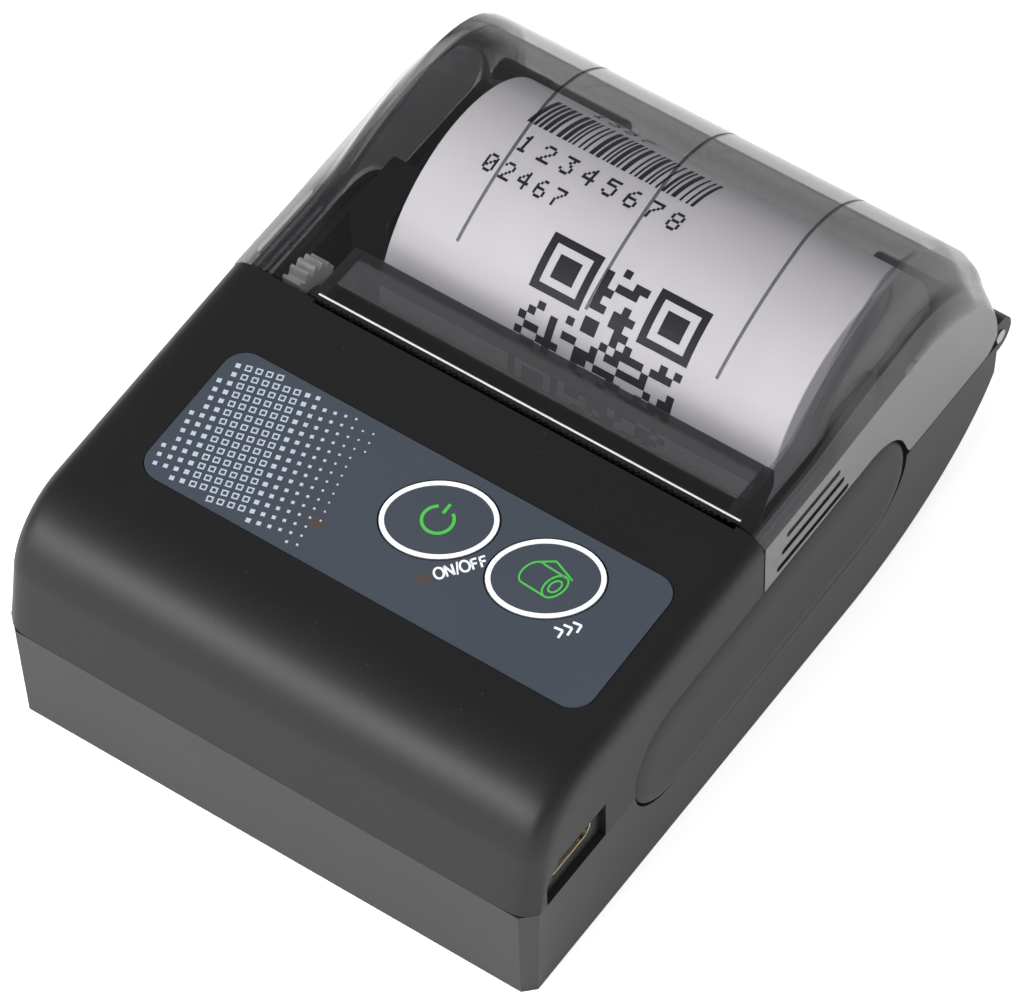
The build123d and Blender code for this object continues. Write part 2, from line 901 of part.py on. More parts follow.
# Path of the paper: off the underside of the roll, then round the platen
paper_path_slope = degrees(
    atan2(platen_height - roll_height, behind(platen_distance) - behind(roll_distance))
)
centre_distance = sqrt((roll_distance - platen_distance) ** 2 + (platen_height - roll_height) ** 2)
wrap_radius = platen_radius + platen_paper_gap + paper_thickness / 2
tangent_turn = degrees(asin((roll_radius - wrap_radius) / centre_distance))
path_normal = paper_path_slope + 90 - tangent_turn
leave_roll = beside(roll_line, roll_radius, path_normal)
meet_platen = beside(platen_line, wrap_radius, path_normal)
guide_low = beside(leave_roll, guide_gap, path_normal)
guide_high = beside(meet_platen, guide_gap, path_normal)


def between(first, second, share):
    """Return the point at this share of the way from one point to another."""
    return (
        first[0] + (second[0] - first[0]) * share,
        first[1] + (second[1] - first[1]) * share,
    )


guide_start = between(guide_low, guide_high, guide_from)
guide_end = between(guide_low, guide_high, guide_to)
sensor_spot = between(guide_low, guide_high, sensor_at)

# Printing frame: two side plates, a front wall, feet and a paper guide, with open platen slots
with BuildPart() as printer_frame:
    for inner, outer in ((plate_left, left_face), (plate_right, plate_right + frame_wall)):
        with BuildSketch(side_plane(inner)):
            with BuildLine():
                Polyline(
                    (behind(frame_front), frame_foot),
                    (behind(frame_front), frame_top - frame_shoulder),
                    (behind(frame_front + frame_shoulder), frame_top),
                    (behind(frame_rear - frame_slope_run), frame_top),
                    (behind(frame_rear), frame_top - frame_slope_drop),
                    (behind(frame_rear), frame_foot),
                    close=True,
                )
            make_face()
            with Locations(platen_line):
                Circle(bush_radius + bush_clearance, mode=Mode.SUBTRACT)
            Polygon(
                beside(platen_line, bush_radius + bush_clearance, 180),
                (platen_line[0] - bush_radius - slot_flare, big),
                (platen_line[0] + slot_lean * big, big),
                beside(platen_line, bush_radius + bush_clearance, -slot_relief),
                align=None,
                mode=Mode.SUBTRACT,
            )
            with Locations(head_pivot_line):
                Circle(head_pivot_radius + head_pivot_clearance, mode=Mode.SUBTRACT)
        extrude(amount=outer - inner)
    with BuildSketch(Plane.XZ.offset(-behind(frame_front))):
        with Locations(((plate_left + plate_right) / 2, (beam_bottom + frame_top) / 2)):
            Rectangle(plate_right - plate_left, frame_top - beam_bottom)
    extrude(amount=-frame_wall)
    with BuildSketch(Plane.XY.offset(frame_foot)):
        with Locations(*foot_spots):
            Rectangle(2 * foot_length, foot_length)
        with Locations(((plate_left + plate_right) / 2, behind(frame_rear - foot_length / 2))):
            Rectangle(plate_right - plate_left, foot_length)
    extrude(amount=frame_wall)
    with BuildSketch(side_plane(plate_left)):
        Polygon(
            guide_start,
            guide_end,
            beside(guide_end, guide_thickness, path_normal),
            beside(guide_start, guide_thickness, path_normal),
            align=None,
        )
    extrude(amount=plate_right - plate_left)
    with BuildSketch(side_plane(left_face - past)):
        with Locations(pinion_line):
            Circle(motor_boss_radius)
        with Locations(reduction_line, idler_line):
            Circle(gear_pin_radius)
    extrude(amount=frame_wall + 2 * past, mode=Mode.SUBTRACT)
    with Locations(*[(x, y, frame_foot) for x, y in foot_spots]):
        Cylinder(screw_radius, 4 * frame_wall, mode=Mode.SUBTRACT)
save(printer_frame.part, "printer_frame")

# Gear pins: steel pins pressed in the left side plate
idler_pin_end = gear_far + gear_side_play
with BuildPart() as gear_pins:
    with BuildSketch(side_plane(plate_left)):
        with Locations(reduction_line):
            Circle(gear_pin_radius)
    extrude(amount=large_far - gear_layer_gap - plate_left)
    with BuildSketch(side_plane(plate_left)):
        with Locations(idler_line):
            Circle(gear_pin_radius)
    extrude(amount=idler_pin_end - plate_left)
save(gear_pins.part, "gear_pins")

# Gear train: platen gear, idler, two-step reduction gear and motor pinion
platen_sketch = (gear_outline(platen_teeth, platen_line, platen_turn), platen_line)
platen_gear = wheel(platen_sketch, gear_near, gear_far, platen_shaft_radius)
save(platen_gear, "platen_gear")
idler_sketch = (gear_outline(idler_teeth, idler_line, idler_turn), idler_line)
idler_gear = wheel(idler_sketch, gear_near, idler_pin_end, gear_pin_radius + pin_clearance)
save(idler_gear, "idler_gear")
small_sketch = (gear_outline(small_reduction_teeth, reduction_line, small_turn), reduction_line)
large_sketch = (gear_outline(large_reduction_teeth, reduction_line, large_turn), reduction_line)
with BuildPart() as reduction_gear:
    add(wheel(small_sketch, gear_near, large_near, gear_pin_radius + pin_clearance))
    add(wheel(large_sketch, large_near, large_far, gear_pin_radius + pin_clearance))
save(reduction_gear.part, "reduction_gear")

pinion_sketch = gear_outline(pinion_teeth, pinion_line, pinion_turn)
with BuildPart() as motor_pinion:
    with BuildSketch(side_plane(large_far)):
        add(pinion_sketch)
    extrude(amount=large_gear_width)
    with BuildSketch(side_plane(large_far)):
        with Locations(pinion_line):
            Circle(motor_shaft_radius)
    extrude(amount=motor_place - large_far)
save(motor_pinion.part, "motor_pinion")

# Feed motor: a round can with a nose that centres it in the side plate
with BuildPart() as feed_motor:
    with BuildSketch(side_plane(plate_left)):
        with Locations(pinion_line):
            Circle(motor_radius)
    extrude(amount=motor_length)
    with BuildSketch(side_plane(plate_left)):
        with Locations(pinion_line):
            Circle(motor_boss_radius)
    extrude(amount=-frame_wall)
    with BuildSketch(side_plane(left_face)):
        with Locations(pinion_line):
            Circle(motor_shaft_radius + pin_clearance)
    extrude(amount=motor_place - left_face, mode=Mode.SUBTRACT)
save(feed_motor.part, "feed_motor")

# Print head: a metal carrier that rocks on two stub pivots, with its bevelled edge at the mouth
with BuildPart() as print_head:
    with BuildSketch(side_plane(head_left)):
        with BuildLine():
            Polyline(
                (behind(head_face), head_bottom),
                (behind(head_face), head_top - head_bevel_height),
                (behind(head_face - head_bevel_depth), head_top),
                (behind(head_face - head_thickness), head_top),
                (behind(head_face - head_thickness), head_bottom),
                close=True,
            )
        make_face()
    extrude(amount=head_right - head_left)
    with BuildSketch(side_plane(left_face)):
        with Locations(head_pivot_line):
            Circle(head_pivot_radius)
    extrude(amount=plate_right + frame_wall - left_face)
save(print_head.part, "print_head")

# Head springs: two coil springs between the frame's front wall and the back of the head
spring_start = frame_front + frame_wall
spring_length = head_face - head_thickness - spring_start - spring_gap
spring_height = head_bottom + spring_rise
spring_span = (head_right - head_left) / 4
with BuildPart() as head_springs:
    for spring_x in (paper_centre - spring_span, paper_centre + spring_span):
        spring_plane = Plane(
            origin=(spring_x, behind(spring_start + spring_wire / 2), spring_height),
            x_dir=(1, 0, 0),
            z_dir=(0, 1, 0),
        )
        pitch = (spring_length - spring_wire) / spring_turns
        coil = spring_plane * Helix(pitch, spring_length - spring_wire, spring_radius)
        with BuildSketch(Plane(origin=coil @ 0, z_dir=coil % 0)):
            Circle(spring_wire / 2)
        sweep(path=coil)
save(head_springs.part, "head_springs")

# Head cable: a flat cable from the head's back, through the frame, to the board
cable_centre = paper_left + cable_margin
cable_high = head_bottom + cable_lap
cable_low = board_top + connector_height + cable_thickness
cable_drop = head_face - head_thickness - cable_thickness
with BuildPart() as head_flat_cable:
    with BuildSketch(side_plane(cable_centre - cable_width / 2)):
        with BuildLine():
            FilletPolyline(
                (behind(cable_drop), cable_high),
                (behind(cable_drop), cable_low),
                (behind(board_rear - cable_lap), cable_low),
                radius=cable_bend,
            )
        trace(line_width=cable_thickness)
    extrude(amount=cable_width)
save(head_flat_cable.part, "head_flat_cable")

# Paper sensor: a small optical block set in the guide below the paper
with BuildPart() as paper_sensor:
    sensor_middle = beside(sensor_spot, guide_thickness + sensor_thickness / 2, path_normal)
    with BuildSketch(side_plane(paper_centre - sensor_width / 2)):
        with Locations(Location(sensor_middle, path_normal)):
            Rectangle(sensor_thickness, sensor_length)
    extrude(amount=sensor_width)
save(paper_sensor.part, "paper_sensor")

# Platen: a rubber roller on a steel shaft, with a bush near each end
shaft_right = plate_right + frame_wall + shaft_stand
with BuildPart() as platen_shaft:
    with BuildSketch(side_plane(gear_far)):
        with Locations(platen_line):
            Circle(platen_shaft_radius)
    extrude(amount=shaft_right - gear_far)
save(platen_shaft.part, "platen_shaft")

with BuildPart() as platen_roller:
    with BuildSketch(side_plane(paper_left - roller_overhang)):
        with Locations(platen_line):
            Circle(platen_radius)
            Circle(platen_shaft_radius, mode=Mode.SUBTRACT)
    extrude(amount=paper_width + 2 * roller_overhang)
save(platen_roller.part, "platen_roller")

with BuildPart() as platen_bushes:
    for near, far in (
        (cheek_left + bracket_wall, left_face + bush_end_gap),
        (cheek_right - bracket_wall, plate_right + frame_wall - bush_end_gap),
    ):
        with BuildSketch(side_plane(near)):
            with Locations(platen_line):
                Circle(bush_radius)
                Circle(platen_shaft_radius + bush_clearance, mode=Mode.SUBTRACT)
        extrude(amount=far - near)
save(platen_bushes.part, "platen_bushes")

# Paper roll, its core and the loose end that runs under the platen to the mouth
with BuildPart() as paper_roll:
    with BuildSketch(side_plane(paper_left)):
        with Locations(roll_line):
            Circle(roll_radius)
            Circle(core_bore_radius + core_wall, mode=Mode.SUBTRACT)
    extrude(amount=paper_width)
save(paper_roll.part, "paper_roll")

with BuildPart() as roll_core:
    with BuildSketch(side_plane(paper_left)):
        with Locations(roll_line):
            Circle(core_bore_radius + core_wall)
            Circle(core_bore_radius, mode=Mode.SUBTRACT)
    extrude(amount=paper_width)
save(roll_core.part, "roll_core")

tail_start = between(leave_roll, meet_platen, tail_start_share)
tail_side = platen_line[0] - wrap_radius
wrap_middle = beside(platen_line, wrap_radius, (path_normal + 180) / 2)
with BuildPart() as paper_tail:
    with BuildSketch(side_plane(paper_left)):
        with BuildLine():
            Line(tail_start, meet_platen)
            ThreePointArc(meet_platen, wrap_middle, (tail_side, platen_height))
            Line((tail_side, platen_height), (tail_side, deck_at(cover_line) - tail_below_deck))
        trace(line_width=paper_thickness)
    extrude(amount=paper_width)
save(paper_tail.part, "paper_tail")

# Roll bucket: a trough round the roll between two side walls, with a raised left flank
bucket_radius = roll_radius + bucket_gap
wall_left = paper_left - roll_play
wall_right = paper_right + roll_play
bucket_lip = path_normal + bucket_lip_turn
with BuildPart() as roll_bucket:
    with BuildSketch(side_plane(wall_left)):
        with Locations(roll_line):
            Circle(bucket_radius + bucket_wall)
            Circle(bucket_radius, mode=Mode.SUBTRACT)
        with Locations((roll_line[0], roll_height + big / 2)):
            Rectangle(big, big, mode=Mode.SUBTRACT)
        Polygon(
            roll_line,
            beside(roll_line, big, bucket_lip),
            beside(roll_line, big, 180),
            beside(roll_line, big, 90),
            align=None,
            mode=Mode.SUBTRACT,
        )
    extrude(amount=wall_right - wall_left)
    for near, width in ((wall_left, -bucket_side_wall), (wall_right, bucket_side_wall)):
        with BuildSketch(side_plane(near)):
            with Locations(roll_line):
                Circle(bucket_radius + bucket_wall)
            with Locations((roll_line[0], flank_height + big / 2)):
                Rectangle(big, big, mode=Mode.SUBTRACT)
            with Locations(roll_line):
                Circle(core_bore_radius, mode=Mode.SUBTRACT)
        extrude(amount=width)
    with BuildSketch(side_plane(wall_left)) as hump:
        Polygon(
            (behind(hump_front), flank_height - flank_drop),
            (behind(hump_front), hump_height),
            (behind(hump_rear), hump_height),
            (behind(hump_rear + 2 * hump_round), flank_height),
            (behind(hump_rear + 2 * hump_round), flank_height - flank_drop),
            align=None,
        )
        hump_corner = hump.vertices().sort_by_distance(
            (wall_left, behind(hump_rear), hump_height)
        )[0]
        fillet(hump_corner, hump_round)
    extrude(amount=-flank_width)
save(roll_bucket.part, "roll_bucket")

# Paper cover: side views at four widths on each side, joined across the printer
cover_low = rear_seam + seam_gap
cover_front = cover_line + cover_gap / 2
crease = roll_distance - crease_ahead
cover_levels = (dome_level, edge_level, strip_level, side_level)


def placed(point):
    """Return a side view point from its distance ahead of the rear and height above the roll."""
    return (behind(rear_face - point[0]), roll_top + point[1])


def cover_outline(level, inset):
    """Sketch one side view of the cover: flat front, rising dome, round back, upright rear."""
    fold = (behind(crease), deck_height + level["fold"])
    heel = placed(level["heel"])
    with BuildSketch() as outline:
        with BuildLine():
            Polyline(
                (heel[0], cover_low),
                (behind(cover_front), cover_low),
                (behind(cover_front), deck_height + level["front"]),
                fold,
            )
            ThreePointArc(fold, placed(level["rise"]), placed(level["peak"]))
            ThreePointArc(placed(level["peak"]), placed(level["fall"]), placed(level["back"]))
            Line(placed(level["back"]), placed(level["tail"]))
            ThreePointArc(placed(level["tail"]), placed(level["turn"]), heel)
            Line(heel, (heel[0], cover_low))
        make_face()
        if inset > 0:
            offset(amount=-inset, kind=Kind.INTERSECTION)
    return outline.sketch


def cover_body(inset):
    """Build the cover's body by joining its side views across the width."""
    sections = [(inset + level["in"] - half_width, level) for level in reversed(cover_levels)]
    sections += [(half_width - level["in"] - inset, level) for level in cover_levels]
    with BuildPart() as body:
        for x, level in sections:
            with BuildSketch(side_plane(x)):
                add(cover_outline(level, inset))
        loft(ruled=True)
    return body.part


cheek_radius = bush_radius + cheek_wall
cheek_top = deck_height - cover_wall / 2
opening = [(half_width - cover_wall, behind(cover_front - past))]
opening += [
    (half_width - level["in"] - cover_wall, placed(level["heel"])[0] - cover_wall)
    for level in reversed(cover_levels)
]
mirrored = [(-x, y) for x, y in reversed(opening)]
with BuildPart() as paper_cover:
    add(cover_body(0))
    add(cover_body(cover_wall), mode=Mode.SUBTRACT)
    with BuildSketch(Plane.XY.offset(cover_low - past)):
        Polygon(*opening, *mirrored, align=None)
    extrude(amount=cover_wall + 2 * past, mode=Mode.SUBTRACT)
    with BuildSketch(Plane.XY.offset(cover_low)):
        with Locations((0, behind(cover_front + cover_wall / 2))):
            Rectangle(casing_width - 2 * cover_wall, cover_wall + 2 * past)
    extrude(amount=deck_height - cover_wall - cover_low, mode=Mode.SUBTRACT)
    for near, width in ((cheek_left, bracket_wall), (cheek_right, -bracket_wall)):
        with BuildSketch(side_plane(near)):
            Polygon(
                (platen_line[0] - cheek_radius, cheek_top),
                (platen_line[0] - cheek_radius, platen_height),
                (platen_line[0] + cheek_radius, platen_height),
                (behind(bracket_rear), platen_height + bracket_rise),
                (behind(bracket_rear), cheek_top),
                align=None,
            )
            with Locations(platen_line):
                Circle(cheek_radius)
                Circle(bush_radius, mode=Mode.SUBTRACT)
        extrude(amount=width)
    with BuildSketch(side_plane(cheek_left)):
        Polygon(
            (behind(bracket_rear - bracket_wall), platen_height + bracket_rise),
            (behind(bracket_rear), platen_height + bracket_rise),
            (behind(bracket_rear), cheek_top),
            (behind(bracket_rear - bracket_wall), cheek_top),
            align=None,
        )
    extrude(amount=cheek_right - cheek_left)
    with BuildSketch(Plane.XY.offset(deck_height - blade_height)):
        with Locations((mouth_middle, behind(cover_front))):
            Rectangle(mouth_right - mouth_left, 2 * blade_thickness)
    extrude(amount=2 * blade_height, mode=Mode.SUBTRACT)
    for side in (-1, 1):
        with BuildSketch(side_plane(side * (half_width - 2 * casing_wall))):
            add(grip_outline(grip_gap + seam_gap / 2))
        extrude(amount=side * 3 * casing_wall, mode=Mode.SUBTRACT)
        with BuildSketch(side_plane(side * (half_width - rib_slot_depth))):
            for row in range(3):
                with Locations((behind(rib_slot_centre), rib_slot_top - row * rib_slot_pitch)):
                    SlotOverall(rib_slot_length + row * rib_slot_growth, rib_slot_width)
        extrude(amount=side * casing_wall, mode=Mode.SUBTRACT)
        with BuildSketch(side_plane(side * (knuckle_middle - knuckle_gap))):
            with Locations(hinge_line):
                Circle(barrel_radius + knuckle_gap)
        extrude(amount=side * casing_width, mode=Mode.SUBTRACT)
        with BuildSketch(side_plane(side * knuckle_inner)):
            with Locations(hinge_line):
                Circle(barrel_radius)
        extrude(amount=side * (knuckle_middle - knuckle_inner - knuckle_gap))
        with BuildSketch(side_plane(side * (knuckle_inner + pin_stop))):
            with Locations(hinge_line):
                Circle(hinge_pin_radius + hinge_clearance)
        extrude(amount=side * casing_width, mode=Mode.SUBTRACT)
save(paper_cover.part, "paper_cover")

# Tear blade: a thin toothed strip along the front edge of the cover
blade_back = cover_front + blade_thickness
tooth_count = int((mouth_right - mouth_left) / tooth_pitch)
blade_teeth = []
for tooth in range(tooth_count):
    start = mouth_left + tooth * tooth_pitch
    blade_teeth.append((start, behind(cover_front)))
    blade_teeth.append((start + tooth_pitch / 2, behind(cover_front - tooth_depth)))
with BuildPart() as tear_blade:
    with BuildSketch(Plane.XY.offset(deck_height - blade_height)):
        with Locations((mouth_middle, behind((cover_front + blade_back) / 2))):
            Rectangle(mouth_right - mouth_left, blade_back - cover_front)
    extrude(amount=blade_height)
    with BuildSketch(Plane.XY.offset(deck_height - tooth_height)):
        Polygon(
            *blade_teeth,
            (mouth_left + tooth_count * tooth_pitch, behind(cover_front)),
            (mouth_left + tooth_count * tooth_pitch, behind(blade_back)),
            (mouth_left, behind(blade_back)),
            align=None,
        )
    extrude(amount=tooth_height)
save(tear_blade.part, "tear_blade")

# Hinge pins: a short steel pin through each pair of knuckles
with BuildPart() as hinge_pin:
    for side in (-1, 1):
        with BuildSketch(side_plane(side * (knuckle_inner + pin_stop))):
            with Locations(hinge_line):
                Circle(hinge_pin_radius)
        extrude(amount=side * (knuckle_outer + pin_stand - knuckle_inner - pin_stop))
save(hinge_pin.part, "hinge_pin")

# Main board on its posts, with a tongue that carries the charging port
board_bottom = board_top - board_thickness
tongue_rear = port_centre + port_width / 2 + port_tongue_margin
with BuildPart() as main_board:
    with BuildSketch(Plane.XY.offset(board_bottom)):
        with Locations((0, behind((board_front + board_rear) / 2))):
            Rectangle(2 * board_half_width, board_rear - board_front)
        with Locations(((port_mouth - port_tongue_gap) / 2, behind((board_front + tongue_rear) / 2))):
            Rectangle(port_mouth - port_tongue_gap, tongue_rear - board_front)
        with Locations(*post_spots):
            Circle(post_hole_radius, mode=Mode.SUBTRACT)
    extrude(amount=board_thickness)
save(main_board.part, "main_board")

# Board components: lamps, chips, a coil and the cable connector
connector_place = board_rear - connector_depth / 2
with BuildPart() as board_components:
    with BuildSketch(Plane.XY.offset(board_top)):
        for x, distance in light_spots:
            spot = deck_spot(x, distance, light_length)
            with Locations((spot.X, spot.Y)):
                Rectangle(2 * light_radius, lamp_height)
    extrude(amount=lamp_height)
    with BuildSketch(Plane.XY.offset(board_top)):
        with Locations((cable_centre, behind(connector_place))):
            Rectangle(cable_width + 2 * connector_margin, connector_depth)
        with Locations((chip_margin - half_width, behind(chip_distance))):
            Rectangle(chip_size, chip_size)
        with Locations((half_width - radio_margin, behind(radio_distance))):
            Rectangle(radio_width, radio_depth)
    extrude(amount=connector_height)
    with BuildSketch(Plane.XY.offset(board_top)):
        with Locations((coil_x, behind(coil_distance))):
            Circle(coil_radius)
    extrude(amount=coil_height)
save(board_components.part, "board_components")

# Key switches on the board, right below the ends of the key stems
stem_spots = [deck_spot(x, key_centre, stem_end) for x in (power_key_x, feed_key_x)]
with BuildPart() as key_switches:
    with BuildSketch(Plane.XY.offset(board_top)):
        with Locations(*[(spot.X, spot.Y) for spot in stem_spots]):
            RectangleRounded(switch_size, switch_size, switch_corner)
    extrude(amount=switch_body)
    with BuildSketch(Plane.XY.offset(board_top)):
        with Locations(*[(spot.X, spot.Y) for spot in stem_spots]):
            Circle(switch_plunger_radius)
    extrude(amount=switch_body + switch_plunger)
save(key_switches.part, "key_switches")

# Battery pack in its bay, with a gap above the door
battery_bottom = door_thickness + door_latch_gap
battery_top = bay_roof - battery_play
battery_front = bay_front + battery_front_play
battery_back = bay_rear - battery_play
with BuildPart() as battery_pack:
    with BuildSketch(side_plane(battery_play - bay_half_width)):
        with Locations(
            (behind((battery_front + battery_back) / 2), (battery_bottom + battery_top) / 2)
        ):
            RectangleRounded(
                battery_back - battery_front, battery_top - battery_bottom, battery_corner
            )
    extrude(amount=2 * (bay_half_width - battery_play))
save(battery_pack.part, "battery_pack")

# Battery contacts: three spring leaves from the board, through the bay's roof, to the pack
contact_place = bay_rear - contact_foot
contact_bottom = battery_top + contact_gap
with BuildPart() as battery_contacts:
    for step in (-1, 0, 1):
        with BuildSketch(side_plane(step * contact_pitch - contact_width / 2)):
            Polygon(
                (behind(contact_place - contact_toe), contact_bottom),
                (behind(contact_place + contact_thickness / 2), contact_bottom),
                (behind(contact_place + contact_thickness / 2), board_bottom),
                (behind(contact_place - contact_thickness / 2), board_bottom),
                (behind(contact_place - contact_thickness / 2), contact_bottom + contact_thickness),
                (behind(contact_place - contact_toe), contact_bottom + contact_thickness),
                align=None,
            )
        extrude(amount=contact_width)
save(battery_contacts.part, "battery_contacts")

# Battery door: a flush plate with a latch at its front edge, which swings down at its rear edge
with BuildPart() as battery_door:
    with BuildSketch(Plane.XY):
        with Locations((0, behind((bay_front + bay_rear) / 2))):
            Rectangle(
                2 * (bay_half_width + door_lap - door_gap),
                bay_rear - bay_front + 2 * (door_lap - door_gap),
            )
    extrude(amount=door_thickness)
    with BuildSketch(Plane.XY):
        with Locations((0, behind(bay_front + latch_gap + latch_thickness / 2))):
            Rectangle(latch_width, latch_thickness)
    extrude(amount=door_thickness + latch_height)
    with BuildSketch(Plane.XY):
        with Locations((0, behind(bay_front + latch_thickness))):
            SlotOverall(latch_width, latch_notch)
    extrude(amount=door_thickness / 2, mode=Mode.SUBTRACT)
save(battery_door.part, "battery_door")

# Casing screws, up through the underside into the top casing
with BuildPart() as case_screws:
    with BuildSketch(Plane.XY.offset(screw_sink)):
        with Locations(*screw_spots()):
            Circle(screw_head_radius)
    extrude(amount=screw_head_height)
    with BuildSketch(Plane.XY.offset(screw_sink)):
        with Locations(*screw_spots()):
            Circle(screw_radius)
    extrude(amount=top_seam + screw_grip - screw_sink)
    with BuildSketch(Plane.XY.offset(screw_sink)):
        with Locations(*screw_spots()):
            Rectangle(screw_cross, screw_cross / 3)
            Rectangle(screw_cross / 3, screw_cross)
    extrude(amount=screw_head_height / 2, mode=Mode.SUBTRACT)
save(case_screws.part, "case_screws")

# Inner screws that hold the frame's foot and the board
foot_top = frame_foot + frame_wall
with BuildPart() as inner_screws:
    with BuildSketch(Plane.XY.offset(foot_top)):
        with Locations(*foot_spots):
            Circle(screw_head_radius)
    extrude(amount=screw_head_height)
    with BuildSketch(Plane.XY.offset(foot_top)):
        with Locations(*foot_spots):
            Circle(screw_radius)
    extrude(amount=casing_wall / 2 - foot_top)
    with BuildSketch(Plane.XY.offset(board_top)):
        with Locations(*post_spots):
            Circle(screw_head_radius)
    extrude(amount=screw_head_height)
    with BuildSketch(Plane.XY.offset(board_top)):
        with Locations(*post_spots):
            Circle(post_hole_radius)
    extrude(amount=bay_roof + bay_wall - board_top)
save(inner_screws.part, "inner_screws")
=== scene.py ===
"""Looks of a pocket receipt printer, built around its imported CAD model.

Sizes are in millimetres. X runs across the paper, distances are measured behind the front face,
and Z goes up from the underside. Meshes are put into the part frame in metres.
"""

from __future__ import annotations

import json
import logging
import math
from dataclasses import dataclass
from enum import Enum
from typing import Callable, Iterable, Sequence

import bmesh
import bpy
import numpy as np
from mathutils import Matrix

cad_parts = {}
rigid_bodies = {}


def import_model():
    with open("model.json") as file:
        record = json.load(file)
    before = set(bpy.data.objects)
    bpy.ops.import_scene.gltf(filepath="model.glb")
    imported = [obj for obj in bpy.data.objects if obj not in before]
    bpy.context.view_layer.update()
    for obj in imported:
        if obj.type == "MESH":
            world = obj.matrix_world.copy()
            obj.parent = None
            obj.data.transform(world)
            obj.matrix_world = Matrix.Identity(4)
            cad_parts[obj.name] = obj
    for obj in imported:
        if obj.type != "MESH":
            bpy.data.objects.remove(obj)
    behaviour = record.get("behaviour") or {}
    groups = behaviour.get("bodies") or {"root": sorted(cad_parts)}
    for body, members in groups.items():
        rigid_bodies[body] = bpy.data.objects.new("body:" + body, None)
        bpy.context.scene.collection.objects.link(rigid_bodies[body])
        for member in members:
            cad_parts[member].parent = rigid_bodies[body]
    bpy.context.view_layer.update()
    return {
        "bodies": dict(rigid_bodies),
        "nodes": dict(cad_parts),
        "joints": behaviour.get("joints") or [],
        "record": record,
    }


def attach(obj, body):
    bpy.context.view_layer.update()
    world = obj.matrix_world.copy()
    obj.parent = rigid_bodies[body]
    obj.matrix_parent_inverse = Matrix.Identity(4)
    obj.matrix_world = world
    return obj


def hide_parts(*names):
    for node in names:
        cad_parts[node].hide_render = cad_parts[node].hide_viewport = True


MM = 0.001
FRONT_Y = -53.45
LOG = logging.getLogger("receipt_printer")

# Points and edges closer or shorter than these, in metres, are merged.
SAME_POINT = 2e-7
NO_LENGTH = 1e-7

Array = np.ndarray
Piece = bpy.types.Object
Node = bpy.types.Node
Socket = bpy.types.NodeSocket
Pair = tuple[float, float]
Triple = tuple[float, float, float]
Four = tuple[float, float, float, float]
Colour = Triple
Mapping = Callable[[Array, Array, Array], Array]


def shade(red: float, green: float, blue: float) -> Colour:
    """Turn a colour written from 0 to 255, as a screen shows it, into scene values.

    The screen's curve is straight up to its knee and a power above it.

    Args:
        red: Red from 0 to 255.
        green: Green from 0 to 255.
        blue: Blue from 0 to 255.

    Returns:
        The three values from 0 to 1.
    """
    knee, slope, offset, power = 0.04045, 12.92, 0.055, 2.4
    screen = np.array([red, green, blue]) / 255.0
    curved = ((screen + offset) / (1 + offset)) ** power
    return tuple(float(v) for v in np.where(screen <= knee, screen / slope, curved))


# --------------------------------------------------------------------------- surfaces


def at(x: Array | float, distance: Array | float, z: Array | float) -> Array:
    """Stack X, distance behind the front face and Z into points of the part frame."""
    x, distance, z = np.broadcast_arrays(x, distance, z)
    return np.stack([x, distance + FRONT_Y, z], axis=-1).astype(float)


def side_view(u: Array, v: Array, w: Array) -> Array:
    """Place a side view's distance and height at the X that w gives."""
    return at(w, u, v)


def plan_view(u: Array, v: Array, w: Array) -> Array:
    """Place a plan's X and distance at the height that w gives."""
    return at(u, v, w)


def grid_quads(rows: int, columns: int, wrap_rows: bool = False, wrap_columns: bool = False) -> Array:
    """Number the quads of a grid of points stored row by row.

    Args:
        rows: Points along the first parameter.
        columns: Points along the second parameter.
        wrap_rows: Joins the last row to the first.
        wrap_columns: Joins the last column to the first.

    Returns:
        One row of four point numbers for each quad.
    """
    i = np.arange(rows if wrap_rows else rows - 1)
    j = np.arange(columns if wrap_columns else columns - 1)
    a, b = np.meshgrid(i, j, indexing="ij")
    c, d = (a + 1) % rows, (b + 1) % columns
    quads = [a * columns + b, c * columns + b, c * columns + d, a * columns + d]
    return np.stack(quads, axis=-1).reshape(-1, 4)


def tube_faces(rings: int, count: int) -> list[list[int]]:
    """Number the faces of a closed tube: quads between its rings, and one face over each end.

    Args:
        rings: How many rings it has.
        count: Points on each ring.

    Returns:
        The point numbers of each face.
    """
    ends = [list(range(count)), list(range(rings * count - 1, (rings - 1) * count - 1, -1))]
    return grid_quads(rings, count, wrap_columns=True).tolist() + ends


def mesh_piece(name: str, points: Array, faces: Iterable[Sequence[int]]) -> Piece:
    """Put points, given in millimetres, and their faces into a new mesh object at the origin.

    Args:
        name: The object's name.
        points: Its points.
        faces: Point numbers of each face.

    Returns:
        The new object.
    """
    mesh = bpy.data.meshes.new(name)
    mesh.from_pydata((points.reshape(-1, 3) * MM).tolist(), [], [tuple(f) for f in faces])
    mesh.update()
    piece = bpy.data.objects.new(name, mesh)
    bpy.context.scene.collection.objects.link(piece)
    return piece


def close_up(piece: Piece, outward: bool = True) -> Piece:
    """Merge points that coincide, drop faces without area and turn closed shells outwards.

    Args:
        piece: The piece.
        outward: Whether its faces are turned outwards.

    Returns:
        The piece.
    """
    shape = bmesh.new()
    shape.from_mesh(piece.data)
    bmesh.ops.remove_doubles(shape, verts=shape.verts, dist=SAME_POINT)
    bmesh.ops.dissolve_degenerate(shape, edges=shape.edges, dist=NO_LENGTH)
    if outward:
        bmesh.ops.recalc_face_normals(shape, faces=shape.faces)
    shape.to_mesh(piece.data)
    shape.free()
    return piece


